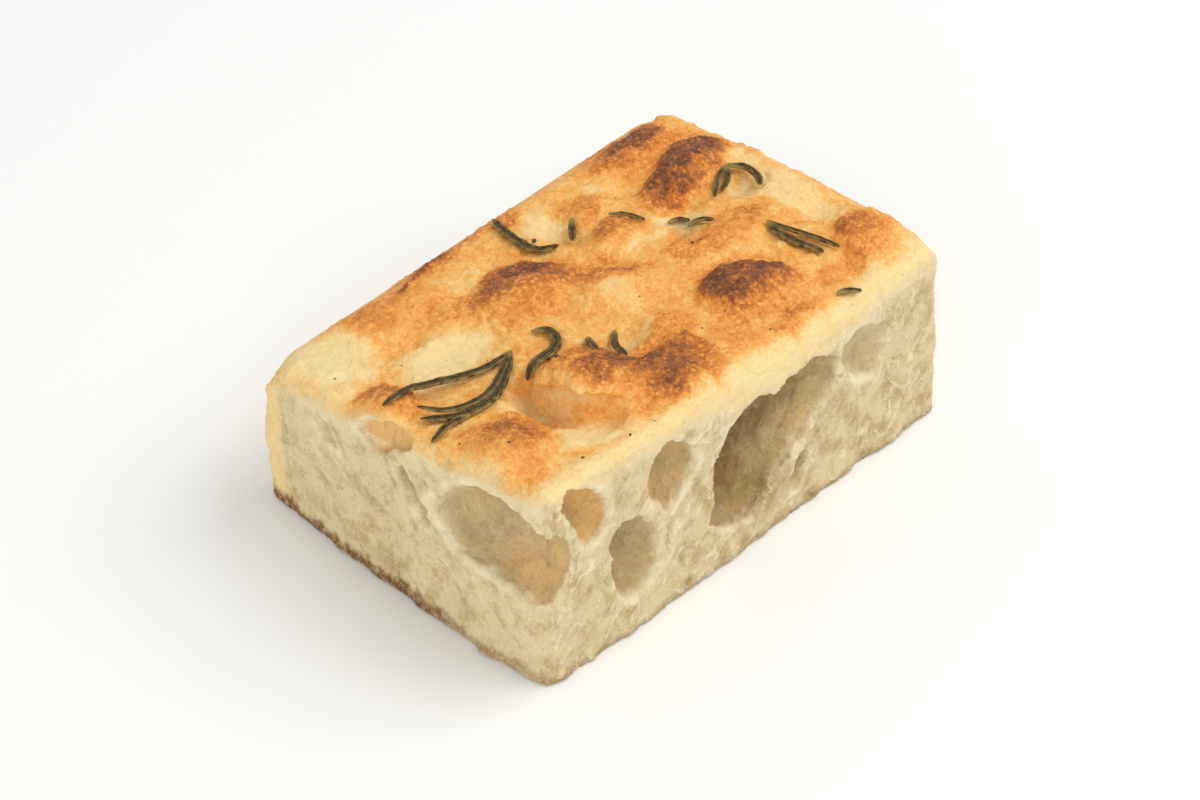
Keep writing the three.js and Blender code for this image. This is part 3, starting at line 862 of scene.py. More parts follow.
flap_line = LEDGES["torn_skin"][5]
beside, flap_along = beside_line(zones["x"], zones["y"], flap_line)
at_flap = ramp(beside, -0.6, 0.5) * ramp(beside, 3.5, 1.0)
at_flap = at_flap * np.clip(np.sin(math.pi * flap_along) * 1.8, 0, 1)
skin_top = crust_height(zones["x"] + 1.6, zones["y"] + 0.8)
at_flap = at_flap * ramp(skin_top - points[:, 2], FLAP_DEPTH, FLAP_DEPTH * 0.4) * zones["crust"]
frill = 1 + 0.6 * noise_of(points, 2.6, 2, 52.0)
push = np.column_stack([-0.8 * at_flap * frill, -0.6 * at_flap * frill, 0.15 * at_flap]) * FLAP_OVER
swirl = points + 3.0 * drift
crumpled = np.abs(noise_of(swirl * np.array([1.0, 0.5, 1]), 1.9, 3, 58.0))
for cx, cy, along, across, turn, deep in CRINKLED:
    crinkled = bell(zones["x"] - cx, zones["y"] - cy, along, across, turn) * upward
    relief = relief - deep * crinkled * crumpled
print("skin pushed over the hollow:", int((at_flap > 0.1).sum()), "vertices")

# %% [markdown]
# ## Relief of the crumb
# Crumb is foam: bubbles of every size, cut open, with thin walls between them. The knife smeared
# most of it, so what is left is soft: long shallow waves that lean the way the dough rose, thin
# webs where walls stood, and fields of small open cells. A cell here is the bowl round the nearest
# of many scattered points, each with its own radius. Only a few single bubbles are deep. A Boolean
# for every bubble would be truer, but there are thousands.

# %% Relief of the crumb
# cells are taller than wide, and lean towards the front corner as they rise
RISE_STRETCH = 1.5
LEAN_LONG = 0.5
LEAN_SHORT = 0.8
# cell size, depth of a cell, share of the crumb that has them
CELLS = [(4.6, 0.7, 0.3), (2.3, 0.32, 0.5), (1.2, 0.16, 0.75)]
PITS_IN_CRUMB = 24


def open_cells(points, size):
    """Bowls of uneven width: 1 in the middle of a cell, 0 on the walls."""
    bowl = np.empty(len(points))
    for k, p in enumerate(points / size):
        near, where = noise.voronoi(Vector(p))
        own = 0.5 + 0.45 * math.sin(40 * (where[0][0] + where[0][1] + where[0][2]))
        bowl[k] = max(0.0, 1 - (near[0] / (0.3 + 0.4 * own)) ** 2)
    return bowl


places = np.flatnonzero(zones["crumb"] > 0.02)
leaning = points[places].copy()
short_share = zones["on_short"][places]
leaning[:, 0] -= LEAN_LONG * (1 - short_share) * points[places, 2]
leaning[:, 1] -= LEAN_SHORT * short_share * points[places, 2]
leaning[:, 2] /= RISE_STRETCH
pull = np.column_stack([noise_of(leaning, 3.5, 2, seed) for seed in (21.0, 24.0, 27.0)])
pulled = leaning + 0.9 * pull
open_field = noise_of(leaning, 8.0, 2, 30.0)
hollow = np.zeros(len(points))
for size, depth, share in CELLS:
    field = ramp(open_field, 0.9 - 1.6 * share, 1.3 - 1.6 * share)
    hollow[places] += depth * open_cells(pulled, size) * (0.15 + 0.85 * field)
waves = np.zeros(len(points))
waves[places] = 0.8 * noise_of(leaning, 8.0, 2, 33.0) + 0.2 * noise_of(pulled, 3.2, 2, 34.0)
web = np.zeros(len(points))
web[places] = ramp(np.abs(noise_of(pulled + 1.5 * pull, 7.0, 2, 36.0)), 0.1, 0.0)
fuzz = np.zeros(len(points))
fuzz[places] = noise_of(points[places], 0.9, 2, 39.0)
pit_centres = []
pit_radii = []
low_places = np.flatnonzero((zones["crumb"][places] > 0.9) & (zones["pocket"][places] < 0.3))
for _ in range(PITS_IN_CRUMB * 3):
    k = low_places[dice.randrange(len(low_places))]
    if dice.random() < 0.12 + 0.5 * math.exp(-points[places[k], 2] / 8):
        pit_centres.append(leaning[k])
        pit_radii.append(dice.uniform(0.3, 0.65))
single_pits = domes(leaning + 0.25 * pull, pit_centres, pit_radii, 0.15)
pit_depth = np.zeros(len(points))
pit_depth[places] = single_pits
hollow = (hollow + 0.9 * pit_depth) * zones["crumb"] * (1 - 0.6 * zones["pocket"])
film = zones["pocket"] * 0.35 * noise_of(points, 4.0, 3, 12.3)
crumb_relief = 0.5 * zones["crumb"] * (1 - zones["pocket"]) - hollow + film
crumb_relief = crumb_relief + zones["crumb"] * (
    waves * (1 - 0.7 * zones["pocket"]) + 0.3 * web * (1 - 0.5 * zones["on_short"]) + 0.08 * fuzz
)
print("deepest hollow, mm:", round(float(hollow.max()), 2), "| pits:", len(pit_centres))

# %% [markdown]
# ## Tray sides and underside
# Where the loaf met the tray, the crust is thin, pale gold and nearly smooth, with a few pores.
# The underside is flat enough to stand on, but its brown edge is ragged: the knife tore bits of the
# base crust loose, so it stands out here, is missing there, and lifts off the table in places.
# Such rags could be modelled one by one, but noise along the foot does it in a few lines.

# %% Relief of the tray sides and the foot
# height of the brown base crust on each cut side
BASE_CRUST = {"short": 2.8, "long": 1.3}

side_relief = zones["tray_side"] * (1 - zones["crust"]) * 0.3 * noise_of(points, 4.0, 4, 31.0)
foot_noise = noise_of(points, 2.4, 3, 40.0)
ragged = noise_of(points * np.array([1, 1, 0.6]), 5.0, 4, 43.0)
brown_top = BASE_CRUST["long"] + (BASE_CRUST["short"] - BASE_CRUST["long"]) * zones["on_short"]
brown_top = brown_top * np.clip(1 + 0.5 * ragged + 0.5 * foot_noise, 0.2, 2)
base = ramp(points[:, 2], brown_top + 1.2, brown_top - 0.5)
near_foot = ramp(points[:, 2], 3.2, 0.0) * (np.abs(normals[:, 2]) < 0.8)
foot_relief = near_foot * 0.4 * foot_noise + 0.2 * base * (np.abs(normals[:, 2]) < 0.8)
flat_foot = (points[:, 2] < 0.6) & (normals[:, 2] < -0.8)
moved = np.where(flat_foot, 0, relief + crumb_relief + side_relief + foot_relief)
shaped = points + normals * moved[:, None] + push
lifted = ramp(zones["from_cut"], 3.0, 0.3) * ramp(points[:, 2], 2.5, 0.5) * np.clip(0.8 * foot_noise, 0, 0.6)
shaped[:, 2] = np.where(flat_foot, 0, np.maximum(shaped[:, 2], 0)) + lifted
set_points(bread, shaped)
print("relief moved", int((np.abs(moved) > 0.01).sum()), "vertices")

# %% [markdown]
# ## Fewer triangles where nobody looks
# Crust and crumb keep their fine skin. The underside and the tray sides are nearly flat, so most
# of their triangles go, and what is left over the budget comes off everywhere alike. One Decimate
# modifier could do it all, but it would take as much from the crumb.

# %% Thin out
MOST_TRIANGLES = 196000


def keep_share(piece, share, wanted):
    """Thins out the faces whose middle and normal the test wants, down to a share of them."""
    only_object(piece)
    bpy.ops.object.mode_set(mode="EDIT")
    bpy.ops.mesh.select_mode(type="FACE")
    bpy.ops.mesh.select_all(action="DESELECT")
    mesh = bmesh.from_edit_mesh(piece.data)
    for face in mesh.faces:
        middle = face.calc_center_median() / MM
        if wanted(middle, face.normal):
            face.select = True
    bmesh.update_edit_mesh(piece.data)
    bpy.ops.mesh.decimate(ratio=share)
    bpy.ops.object.mode_set(mode="OBJECT")


def at_underside(middle, normal):
    return middle.z < 0.5 and normal.z < -0.7


def at_tray_side(middle, normal):
    return (middle.y > WIDTH / 2 - 1 or middle.x > LENGTH / 2 - 1) and normal.z < 0.3


keep_share(bread, 0.06, at_underside)
keep_share(bread, 0.35, at_tray_side)
modify(bread, "TRIANGULATE")
triangles = len(bread.data.polygons)
if triangles > MOST_TRIANGLES:
    modify(bread, "DECIMATE", ratio=MOST_TRIANGLES / triangles)
bpy.ops.object.shade_smooth()
print("bread:", triangles, "triangles, kept", len(bread.data.polygons))

# %% [markdown]
# ## Walls and rims of the pockets
# Some pockets lie close under the crust, so their walls baked golden, and the films at their rims
# are thin and bright. Each wall takes the colour of the pocket it is nearest to, weighed by
# distance. Picking faces for each pocket would leave a hard border where two pockets meet.

# %% Walls and rims of the pockets
# golden spots on pocket walls of the short side: place along it, height, half-width, half-height,
# how golden
GOLD_SPOTS = [
    (36, 24, 12, 8, 0.4),
]


def golden_walls(points):
    """How golden the pocket walls are: each pocket's own share, and the golden spots."""
    total = np.full(len(points), 1e-6)
    golden = np.zeros(len(points))
    for side, deep, _, gold, rim in POCKETS.values():
        centre, size = np.mean(rim, axis=0), np.ptp(rim, axis=0) / 2
        along = points[:, 0] if side == "long" else -points[:, 1]
        away = np.hypot((along - centre[0]) / size[0], (points[:, 2] - centre[1]) / size[1])
        behind = zones["y"] + WIDTH / 2 if side == "long" else zones["x"] + LENGTH / 2
        away = away + np.maximum(behind - deep, 0) / 3
        weight = np.exp(-2.5 * away * away)
        golden = golden + weight * gold
        total = total + weight
    golden = golden / total
    for at, up, wide, tall, gold in GOLD_SPOTS:
        here = ramp(zones["x"] + LENGTH / 2, 12, 8)
        golden = golden + here * gold * patch(-points[:, 1] - at, points[:, 2] - up, wide, tall, 0)
    return golden


def rims_of(points):
    """1 on the thin bright rims of the pockets, 0 a millimetre away from them."""
    bright = np.zeros(len(points))
    for side, _, _, _, rim in POCKETS.values():
        along = points[:, 0] if side == "long" else -points[:, 1]
        here = zones["on_short"] < 0.5 if side == "long" else zones["on_short"] > 0.5
        away, _ = beside_line(along, points[:, 2], rim + rim[:1])
        bright = np.maximum(bright, here * ramp(np.abs(away), 1.5, 0.3))
    torn = ramp(noise_of(points, 4.0, 3, 90.0), -0.5, 0.4)
    return bright * (0.15 + 0.85 * torn) * ramp(zones["behind"], 3.0, 1.2)


walls = golden_walls(points)
rims = rims_of(points)
print("golden share of the pocket walls, most:", round(float(walls.max()), 2))

# %% [markdown]
# ## Dabs in the crumb
# The crumb isn't one colour: it is tan where dough lay dense, and brown where the knife dragged bits
# of base crust over it. Each dab is a soft ellipse on one cut side, as on the crust.

# %% Dabs in the crumb
# side, place along it, height, half-width, half-height, lean in degrees, how strong
DABS = [
    ("long", 2.5, 12, 11, 9, 0, 1.0),
    ("long", -9, 14, 5, 7, 0, 0.7),
    ("long", 25, 22, 7, 6, 0, 0.5),
    ("long", -40, 36.4, 3.5, 2.5, 0, 0.6),
    ("long", -20.4, 40.8, 3, 2.2, 0, 0.6),
    ("long", 18, 2.2, 4.5, 2.4, 0, 1.0),
    ("long", -4, 3.2, 3.4, 1.8, 0, 0.9),
    ("long", -10.8, 2.6, 3, 1.8, 0, 0.9),
    ("long", -21.5, 2.8, 3.4, 1.8, 0, 0.9),
    ("long", -50, 19.8, 1.8, 1.6, 0, 1.0),
    ("long", -45, 18.6, 2.4, 2.2, 0, 0.6),
    ("long", -23, 9.8, 1.6, 1.4, 0, 0.9),
    ("long", 23.3, 11.3, 3, 4, 30, 0.5),
    ("long", 33, 12, 5, 4, 0, 0.35),
    ("short", 23, 35, 9, 7, -40, 0.3),
    ("short", -6.8, 18.7, 4.5, 5.5, -30, 0.55),
    ("short", 2.5, 30, 2.5, 5, -35, 0.5),
    ("short", 15.2, 42.6, 3.4, 1.1, -10, 1.0),
    ("short", -3, 6, 9, 3.5, 0, 0.5),
    ("short", -24, 8, 8, 3, 0, 0.35),
    ("short", 22, 8, 6, 4, 0, 0.35),
]


def dabs_of(points):
    """How strongly the dabs colour each point."""
    on_long = zones["on_short"] < 0.5
    total = np.zeros(len(points))
    for side, at, up, wide, tall, lean, strength in DABS:
        along = points[:, 0] if side == "long" else -points[:, 1]
        here = on_long if side == "long" else ~on_long
        total += here * strength * bell(along - at, points[:, 2] - up, wide, tall, -lean)
    return np.clip(total, 0, 1)


print("dabs:", len(DABS))

# %% [markdown]
# ## Attributes for the finish
# The shader needs to know where crust ends and crumb begins, how brown it is, and how deep a
# hollow lies. All that is known for the full skin, so each vertex of the thinned mesh takes it from
# the nearest vertex of the full one. Painting the same by hand would take hours and fade nowhere.

# %% Attributes
# x, y, half-length, half-width and turn of the stain that the herbs left in their pit
HERB_STAIN = (27.5, 0.5, 6.5, 5, 0)


def store(piece, name, values):
    """Stores one number for each vertex."""
    layer = piece.data.attributes.new(name, "FLOAT", "POINT")
    layer.data.foreach_set("value", values.astype(np.float32))


tray_brown = 0.24 + 0.24 * ramp(points[:, 2], 9, 1) + 0.14 * noise_of(points, 9.0, 3, 50.0)
tray_brown = tray_brown + (0.14 - tray_brown) * ramp(zones["from_cut"], 22, 4)
on_top = ramp(zones["crust"], 0.2, 0.6)
browning = browning * on_top + tray_brown * (1 - on_top)
torn_edge = ramp(zones["from_cut"] + 0.6 * noise_of(points, 2.6, 3, 55.0), -1.3, 0.9)
wrapped = ramp(WIDTH / 2 - zones["y"] + 1.6 * noise_of(points, 4.0, 3, 57.0), 9.0, 5.5)
wrapped = wrapped * zones["on_short"] * ramp(points[:, 2], 1.0, 6.0)
web_share = web * (0.7 - 0.45 * zones["on_short"])
layers = {
    "dab": dabs_of(points),
    "browning": browning,
    "crust": np.maximum(np.maximum(zones["crust"] * torn_edge, zones["tray_side"]), 0.85 * wrapped),
    "base": base * (0.5 + 0.5 * zones["on_short"] * ramp(points[:, 1], -24, -8)),
    "pocket": zones["pocket"] * ramp(zones["behind"], 0.3, 3.0 - 1.8 * walls),
    "gold": walls,
    # Painted shade with some browner crumb: deep marks how far inside the great pocket the wall lies.
    "deep": zones["pocket"] * ramp(zones["behind"], 4.5, 10) * (zones["on_short"] < 0.5),
    "herb": bell(zones["x"] - HERB_STAIN[0], zones["y"] - HERB_STAIN[1], *HERB_STAIN[2:]),
    # hollow also carries painted shade: the crumb is painted darker in its cells and wave troughs.
    "hollow": np.clip(hollow / 1.2 - 0.35 * waves, 0, 1),
    "web": np.maximum(web_share * (1 - zones["pocket"]), 0.75 * rims) * zones["crumb"],
    "warm": ramp(zones["under"], 6, 1) * zones["crumb"],
    # Painted shade: the small single pits are painted brown by their depth.
    "pit": np.clip(1.5 * pit_depth, 0, 1),
    # tiny also carries a painted highlight: the shader paints the crust paler on the tiny blisters' tops.
    "tiny": np.clip(tiny / 0.3, 0, 1) * upward,
}
full_skin = search_tree(shaped)
nearest = np.array([full_skin.find(p)[1] for p in points_of(bread)])
for layer_name, values in layers.items():
    store(bread, layer_name, values[nearest])
print("attributes:", list(layers))

# %% [markdown]
# ## Nodes for the materials
# A material is a net of nodes. Colour images could do the same, but noise and the stored
# attributes stay sharp at any distance. Each helper here adds one kind of node, or one common
# group of them, and gives back its output.

# %% Helpers for materials
def finish(name):
    """A new material with its node tree and shader."""
    material = bpy.data.materials.new(name)
    material.use_nodes = True
    tree = material.node_tree
    return material, tree, tree.nodes["Principled BSDF"]


def node(tree, kind, links=(), **values):
    """One node: values are its settings or its inputs' values, links come from other sockets."""
    made = tree.nodes.new(kind)
    for key, value in values.items():
        if hasattr(made, key):
            setattr(made, key, value)
        else:
            made.inputs[key.replace("_", " ")].default_value = value
    for socket, source in links:
        tree.links.new(source, made.inputs[socket])
    return made


def number(tree, operation, a, b, clamp=False):
    """Math on two sockets or numbers."""
    made = node(tree, "ShaderNodeMath", operation=operation, use_clamp=clamp)
    for k, value in enumerate((a, b)):
        if isinstance(value, (int, float)):
            made.inputs[k].default_value = value
        else:
            tree.links.new(value, made.inputs[k])
    return made.outputs[0]


def times(tree, a, b):
    return number(tree, "MULTIPLY", a, b)


def plus(tree, a, b, clamp=False):
    return number(tree, "ADD", a, b, clamp)


def blend(tree, factor, a, b):
    """Mixes two colours, each a socket or a fixed colour."""
    made = node(tree, "ShaderNodeMix", data_type="RGBA")
    for name, value in (("Factor", factor), ("A", a), ("B", b)):
        socket = [s for s in made.inputs if s.name == name and s.enabled][0]
        if isinstance(value, tuple):
            socket.default_value = value
        else:
            tree.links.new(value, socket)
    return [s for s in made.outputs if s.enabled][0]


def painted(tree, colour, coats):
    """Lays coats over a colour, one after another: how much of each, and its colour."""
    for share, coat in coats:
        colour = blend(tree, share, colour, coat)
    return colour


def attribute(tree, name):
    return node(tree, "ShaderNodeAttribute", attribute_name=name).outputs["Fac"]


def spread(tree, value, low, high, to_low=0.0, to_high=1.0):
    """Maps a value from one range to another, clamped."""
    made = node(tree, "ShaderNodeMapRange", [("Value", value)], interpolation_type="SMOOTHSTEP")
    for name, limit in (("From Min", low), ("From Max", high), ("To Min", to_low), ("To Max", to_high)):
        made.inputs[name].default_value = limit
    return made.outputs["Result"]


def grain(tree, place, size, detail=3.0, roughness=0.55):
    """Noise whose lumps are about size millimetres."""
    return node(
        tree, "ShaderNodeTexNoise", [("Vector", place)],
        Scale=1 / (size * MM), Detail=detail, Roughness=roughness,
    ).outputs["Fac"]


def patches(tree, place, look, *limits):
    """Soft patches of noise: look is its size, detail and roughness, and limits map its value."""
    return spread(tree, grain(tree, place, *look), *limits)


def cells(tree, place, size):
    """Distance to the nearest of cells about size millimetres wide."""
    made = node(tree, "ShaderNodeTexVoronoi", [("Vector", place)], Scale=1 / (size * MM))
    return made.outputs["Distance"]


def strayed(tree, place, size, reach):
    """The place, pulled about by noise, so that what reads it isn't regular."""
    stray = node(tree, "ShaderNodeTexNoise", [("Vector", place)], Scale=1 / (size * MM))
    centred = node(tree, "ShaderNodeVectorMath", [(0, stray.outputs["Color"])], operation="SUBTRACT")
    centred.inputs[1].default_value = (0.5, 0.5, 0.5)
    links = [(0, centred.outputs[0])]
    reached = node(tree, "ShaderNodeVectorMath", links, operation="SCALE", Scale=reach * MM * 2)
    links = [(0, place), (1, reached.outputs[0])]
    return node(tree, "ShaderNodeVectorMath", links, operation="ADD").outputs[0]


bread_finish, tree, shader = finish("baked_bread")
print("material:", bread_finish.name)

# %% [markdown]
# ## Colour of the crust
# A baked crust runs from cream over gold and orange to brown, freckled by its tiny blisters. The stored
# browning, mottled by noise in three sizes, picks a colour from a ramp. The freckles are partly the crust's
# own and partly painted light: their pale middles are a painted highlight on each tiny blister, their dark
# edges painted shade between the blisters, and the tops of the tiny blisters are painted paler as well.
# Mixing two colours would be simpler, but a real crust passes through orange on its way to brown.

# %% Colour of the crust
CRUST_COLOURS = [
    (0.0, (0.97, 0.77, 0.41)),
    (0.16, (0.975, 0.69, 0.305)),
    (0.34, (0.95, 0.485, 0.12)),
    (0.5, (0.84, 0.32, 0.058)),
    (0.67, (0.57, 0.185, 0.034)),
    (0.84, (0.31, 0.104, 0.03)),
    (1.0, (0.14, 0.055, 0.024)),
]
PEPPER = (0.22, 0.10, 0.035, 1)
HERB_GREEN = (0.50, 0.42, 0.19, 1)

place = node(tree, "ShaderNodeTexCoord").outputs["Object"]
loose_place = strayed(tree, place, 1.4, 0.9)
brown = attribute(tree, "browning")
toasted = spread(tree, brown, 0.3, 0.6)
mottles = [
    (grain(tree, place, 7.0), 0.4),
    (grain(tree, loose_place, 2.2, 4.0, 0.65), 0.5),
    (grain(tree, loose_place, 0.8, 2.0), 0.44),
]
shares = [times(tree, number(tree, "SUBTRACT", lumps, 0.5), amount) for lumps, amount in mottles]
# Painted light, partly the crust's own freckling: each cell is paler in its middle, a painted highlight on a
# tiny blister, and darker at its edge, painted shade between blisters.
freckles_and_painted_glints = spread(tree, cells(tree, loose_place, 1.25), 0.15, 0.5, -0.13, 0.05)
shares.append(times(tree, freckles_and_painted_glints, toasted))
# Painted highlight: the crust is painted paler on the tops of the tiny blisters.
shares.append(times(tree, times(tree, attribute(tree, "tiny"), -0.1), toasted))
mottled = shares[0]
for share in shares[1:]:
    mottled = plus(tree, mottled, share)
mottled = plus(tree, times(tree, mottled, spread(tree, brown, 0.1, 0.4, 0.4, 1.0)), brown)
colours = node(tree, "ShaderNodeValToRGB", [("Fac", mottled)])
while len(colours.color_ramp.elements) < len(CRUST_COLOURS):
    colours.color_ramp.elements.new(0.5)
for stop, (at, colour) in zip(colours.color_ramp.elements, CRUST_COLOURS):
    stop.position = at
    stop.color = (*colour, 1)
crust_coats = [
    (patches(tree, place, (0.75, 2.0), 0.7, 0.78, 0.0, 0.55), PEPPER),
    (times(tree, attribute(tree, "herb"), 0.75), HERB_GREEN),
]
crust_colour = painted(tree, colours.outputs["Color"], crust_coats)
print("colours in the crust's ramp:", len(colours.color_ramp.elements))

# %% [markdown]
# ## Colour of the crumb
# Crumb is matt cream, tan in its pockets, and pale where a wall was torn. Its hollows, its small pits and the
# depths of the great pocket are painted darker too: painted shade, mixed with some tan of the crumb's own. So
# it is painted in coats, as a painter would: each coat is a colour and a share that says where it lies. One
# ramp could hold most of it, but coats can be changed one by one.

# %% Colour of the crumb
CRUMB_LIGHT = (0.735, 0.605, 0.36, 1)
# tan of the crumb, also used as painted shade in its hollows
CRUMB_TAN_AND_SHADE = (0.52, 0.37, 0.165, 1)
CRUMB_WARM = (0.90, 0.745, 0.45, 1)
CRUMB_WEB = (0.94, 0.85, 0.62, 1)
DAB_TAN = (0.38, 0.24, 0.09, 1)
POCKET_TAN = (0.50, 0.37, 0.195, 1)
POCKET_GOLD = (0.82, 0.50, 0.185, 1)
# colour of the painted shade deep in the pockets, and of dark patches on their films
POCKET_SHADE_AND_DARK_FILM = (0.28, 0.165, 0.065, 1)
# colour of the painted shade in the small pits, and of the dark specks in the crumb
PIT_SHADE_AND_SPECK_BROWN = (0.36, 0.22, 0.085, 1)
BASE_BROWN = (0.20, 0.08, 0.026, 1)

gold_patches = patches(tree, place, (6.0,), 0.3, 0.7, -0.2, 0.2)
golden = plus(tree, attribute(tree, "gold"), gold_patches, clamp=True)
film_place = strayed(tree, place, 2.0, 1.5)
film_light = patches(tree, film_place, (2.6, 4.0, 0.65), 0.45, 0.75, 0.0, 0.6)
pocket_coats = [
    (golden, POCKET_GOLD),
    # Painted shade: the wall is painted darker deeper inside the pocket.
    (times(tree, attribute(tree, "deep"), patches(tree, place, (4.0,), 0.3, 0.6, 0.4, 0.85)), POCKET_SHADE_AND_DARK_FILM),
    (times(tree, film_light, spread(tree, golden, 0.2, 0.9, 1.0, 0.3)), CRUMB_LIGHT),
    (patches(tree, loose_place, (1.3, 3.0, 0.65), 0.48, 0.7, 0.0, 0.35), POCKET_SHADE_AND_DARK_FILM),
]
# Painted shade with some real tan: the crumb is painted darker in its cells and in the troughs of its waves.
hollow_shade_and_tan = spread(tree, attribute(tree, "hollow"), 0.1, 0.9, 0.0, 0.75)
smudges = patches(tree, strayed(tree, place, 3.0, 1.2), (4.5, 5.0, 0.62), 0.4, 0.7, 0.0, 0.9)
speckles = patches(tree, loose_place, (0.7, 3.0, 0.7), 0.42, 0.72, -0.15, 0.35)
dab_patches = patches(tree, loose_place, (1.6, 4.0, 0.65), 0.3, 0.6, 0.25, 1.0)
base_patches = patches(tree, loose_place, (1.4, 4.0, 0.65), 0.3, 0.6, 0.4, 1.0)
crumb_coats = [
    (plus(tree, plus(tree, hollow_shade_and_tan, smudges), speckles, clamp=True), CRUMB_TAN_AND_SHADE),
    (times(tree, attribute(tree, "warm"), 0.55), CRUMB_WARM),
    (attribute(tree, "pocket"), painted(tree, POCKET_TAN, pocket_coats)),
    (times(tree, attribute(tree, "web"), 0.75), CRUMB_WEB),
    (times(tree, attribute(tree, "dab"), dab_patches), DAB_TAN),
    # Painted shade in the bottoms of the small pits; the coat after it is real dark specks.
    (attribute(tree, "pit"), PIT_SHADE_AND_SPECK_BROWN),
    (patches(tree, place, (0.9, 2.0, 0.6), 0.68, 0.8, 0.0, 0.5), PIT_SHADE_AND_SPECK_BROWN),
    (times(tree, attribute(tree, "base"), base_patches), BASE_BROWN),
]
is_crust = attribute(tree, "crust")
bread_colour = blend(tree, is_crust, painted(tree, CRUMB_LIGHT, crumb_coats), crust_colour)
tree.links.new(bread_colour, shader.inputs["Base Color"])
print("coats on the crumb:", len(crumb_coats), "| on the pocket walls:", len(pocket_coats))

# %% [markdown]
# ## Shine and fine skin
# The crust shines a little with oil and the crumb not at all, and both let light in a little way,
# as all bread does. What is finer than the mesh, that is pores, skin wrinkles and the rash on the
# browned tops, is bump. More triangles could hold it too, but nobody would see the difference.

# %% Shine and fine skin
CRUMB_ROUGH = 0.9

oily = patches(tree, loose_place, (2.5, 3.0), 0.3, 0.7, 0.32, 0.56)
rough = plus(tree, times(tree, is_crust, number(tree, "SUBTRACT", oily, CRUMB_ROUGH)), CRUMB_ROUGH)
tree.links.new(rough, shader.inputs["Roughness"])
shader.inputs["Specular IOR Level"].default_value = 0.22
shader.inputs["Subsurface Weight"].default_value = 0.35
shader.inputs["Subsurface Radius"].default_value = (1.0, 0.55, 0.3)
shader.inputs["Subsurface Scale"].default_value = 2.0 * MM

fuzz = times(tree, grain(tree, place, 0.45, 3.0, 0.7), 2.4)
pores = plus(tree, cells(tree, loose_place, 0.8), fuzz)
pores = times(tree, pores, spread(tree, is_crust, 0.0, 1.0, 0.5, 0.0))
tiny_domes = times(tree, cells(tree, loose_place, 0.9), spread(tree, brown, 0.3, 0.6, -0.2, -0.9))
wrinkles = times(tree, grain(tree, strayed(tree, place, 4.0, 3.0), 1.1, 3.0, 0.6), 2.2)
fine = times(tree, grain(tree, loose_place, 0.5, 3.0, 0.7), 1.5)
skin_height = times(tree, plus(tree, plus(tree, tiny_domes, wrinkles), fine), is_crust)
bump_links = [("Height", plus(tree, pores, skin_height))]
bump = node(tree, "ShaderNodeBump", bump_links, Strength=0.8, Distance=0.26 * MM)
tree.links.new(bump.outputs["Normal"], shader.inputs["Normal"])

bread.data.materials.clear()
bread.data.materials.append(bread_finish)
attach(bread, "root")
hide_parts("focaccia")
print("nodes in the bread's finish:", len(tree.nodes))

# %% [markdown]
# ## Rosemary
# A rosemary leaf is a stiff needle, 2 mm wide, with a groove along its top and edges rolled
# under. In the oven it dries and turns dark olive. One needle is modelled straight, and each leaf
# is a copy of it that a Curve modifier bends along its own path. The path rests on the crust's
# high places and bridges its hollows, as a stiff leaf does. A profile swept along the path would
# bend too, but it couldn't hold the groove and the drawn-in ends.

# %% Paths of the leaves
LEAF_THICK = 1.0
LEAF_STEPS = 12
# how fully a leaf bridges the hollows, from 0 to 1, and how deep it is baked into the crust
LEAF_STIFFNESS = 0.75
LEAF_SUNK = 0.15
# for each leaf: its width, how far it lifts off the crust, and its path from the stalk to the tip
SPRIGS = {
    "sprig_front": [
        (2.0, 0.5, [(-28, -0.8), (-35, -1.2), (-42, 0.6), (-50, 4), (-59.8, 4.2)]),
        (2.05, 0.4, [(-28, -0.8), (-34.3, -5.4), (-42.2, -9.2), (-49.9, -8.4), (-55.8, -2.5)]),
        (1.5, 0.9, [(-28.4, -1), (-35, -4.6), (-43.4, -7.7), (-50, -6.3), (-54.6, -0.4)]),
        (1.5, 0.2, [(-48.3, -9.6), (-54.4, -8.6), (-59.8, -9.8)]),
    ],
    "leaf_twisted": [
        (2.3, 0.6, [(-21.2, 0.3), (-18.9, -1.8), (-19.5, -5.1), (-24, -8.4), (-29, -8.6), (-32.6, -9.8)]),
    ],
    "leaf_tucked_short": [(1.8, -0.7, [(-15, -10), (-18, -13.8), (-19.8, -17)])],
    "leaf_tucked_long": [(1.7, -0.7, [(-9.4, -12.2), (-13.2, -16.2), (-15.6, -21.4)])],
    "leaf_tray_side": [(2.2, 0.4, [(4.5, 37), (2.4, 32), (0.8, 25), (0.9, 20.2), (4.6, 17)])],
    "leaf_straight": [(1.7, 0.5, [(13, 21.4), (10.5, 18.8), (8, 16.2)])],
    "leaf_thin": [(0.8, 0.1, [(18.8, 16), (21.2, 13.2), (22.6, 8.7)])],
    "leaf_pit_upper": [(1.1, 0.2, [(24.5, 4), (27, 3.2), (28.2, 0.9)])],
    "leaf_pit_lower": [(1.1, 0.3, [(26.6, 0), (29.4, -0.9), (30.6, -3.8)])],
    "sprig_back": [
        (1.5, 0.4, [(47.6, 7.6), (43, 6), (37.8, 2.4)]),
        (1.2, 0.3, [(47.6, 7.6), (45.6, 5.4), (40.8, 3)]),
        (1.9, 0.5, [(47.6, 7.6), (50.2, 4.6), (50.2, 1.6), (47.8, -2)]),
    ],
    "sprig_end": [
        (1.9, 0.3, [(38.2, -12.2), (37.2, -15.2), (37.6, -21.5), (39, -27.5)]),
        (1.2, 0.5, [(38.2, -12.2), (39.2, -16.5), (41, -22.2), (42.4, -29)]),
    ],
    "leaf_cut_edge": [(1.4, 0.2, [(30.4, -38.4), (32.4, -39), (34.6, -41.6)])],
}


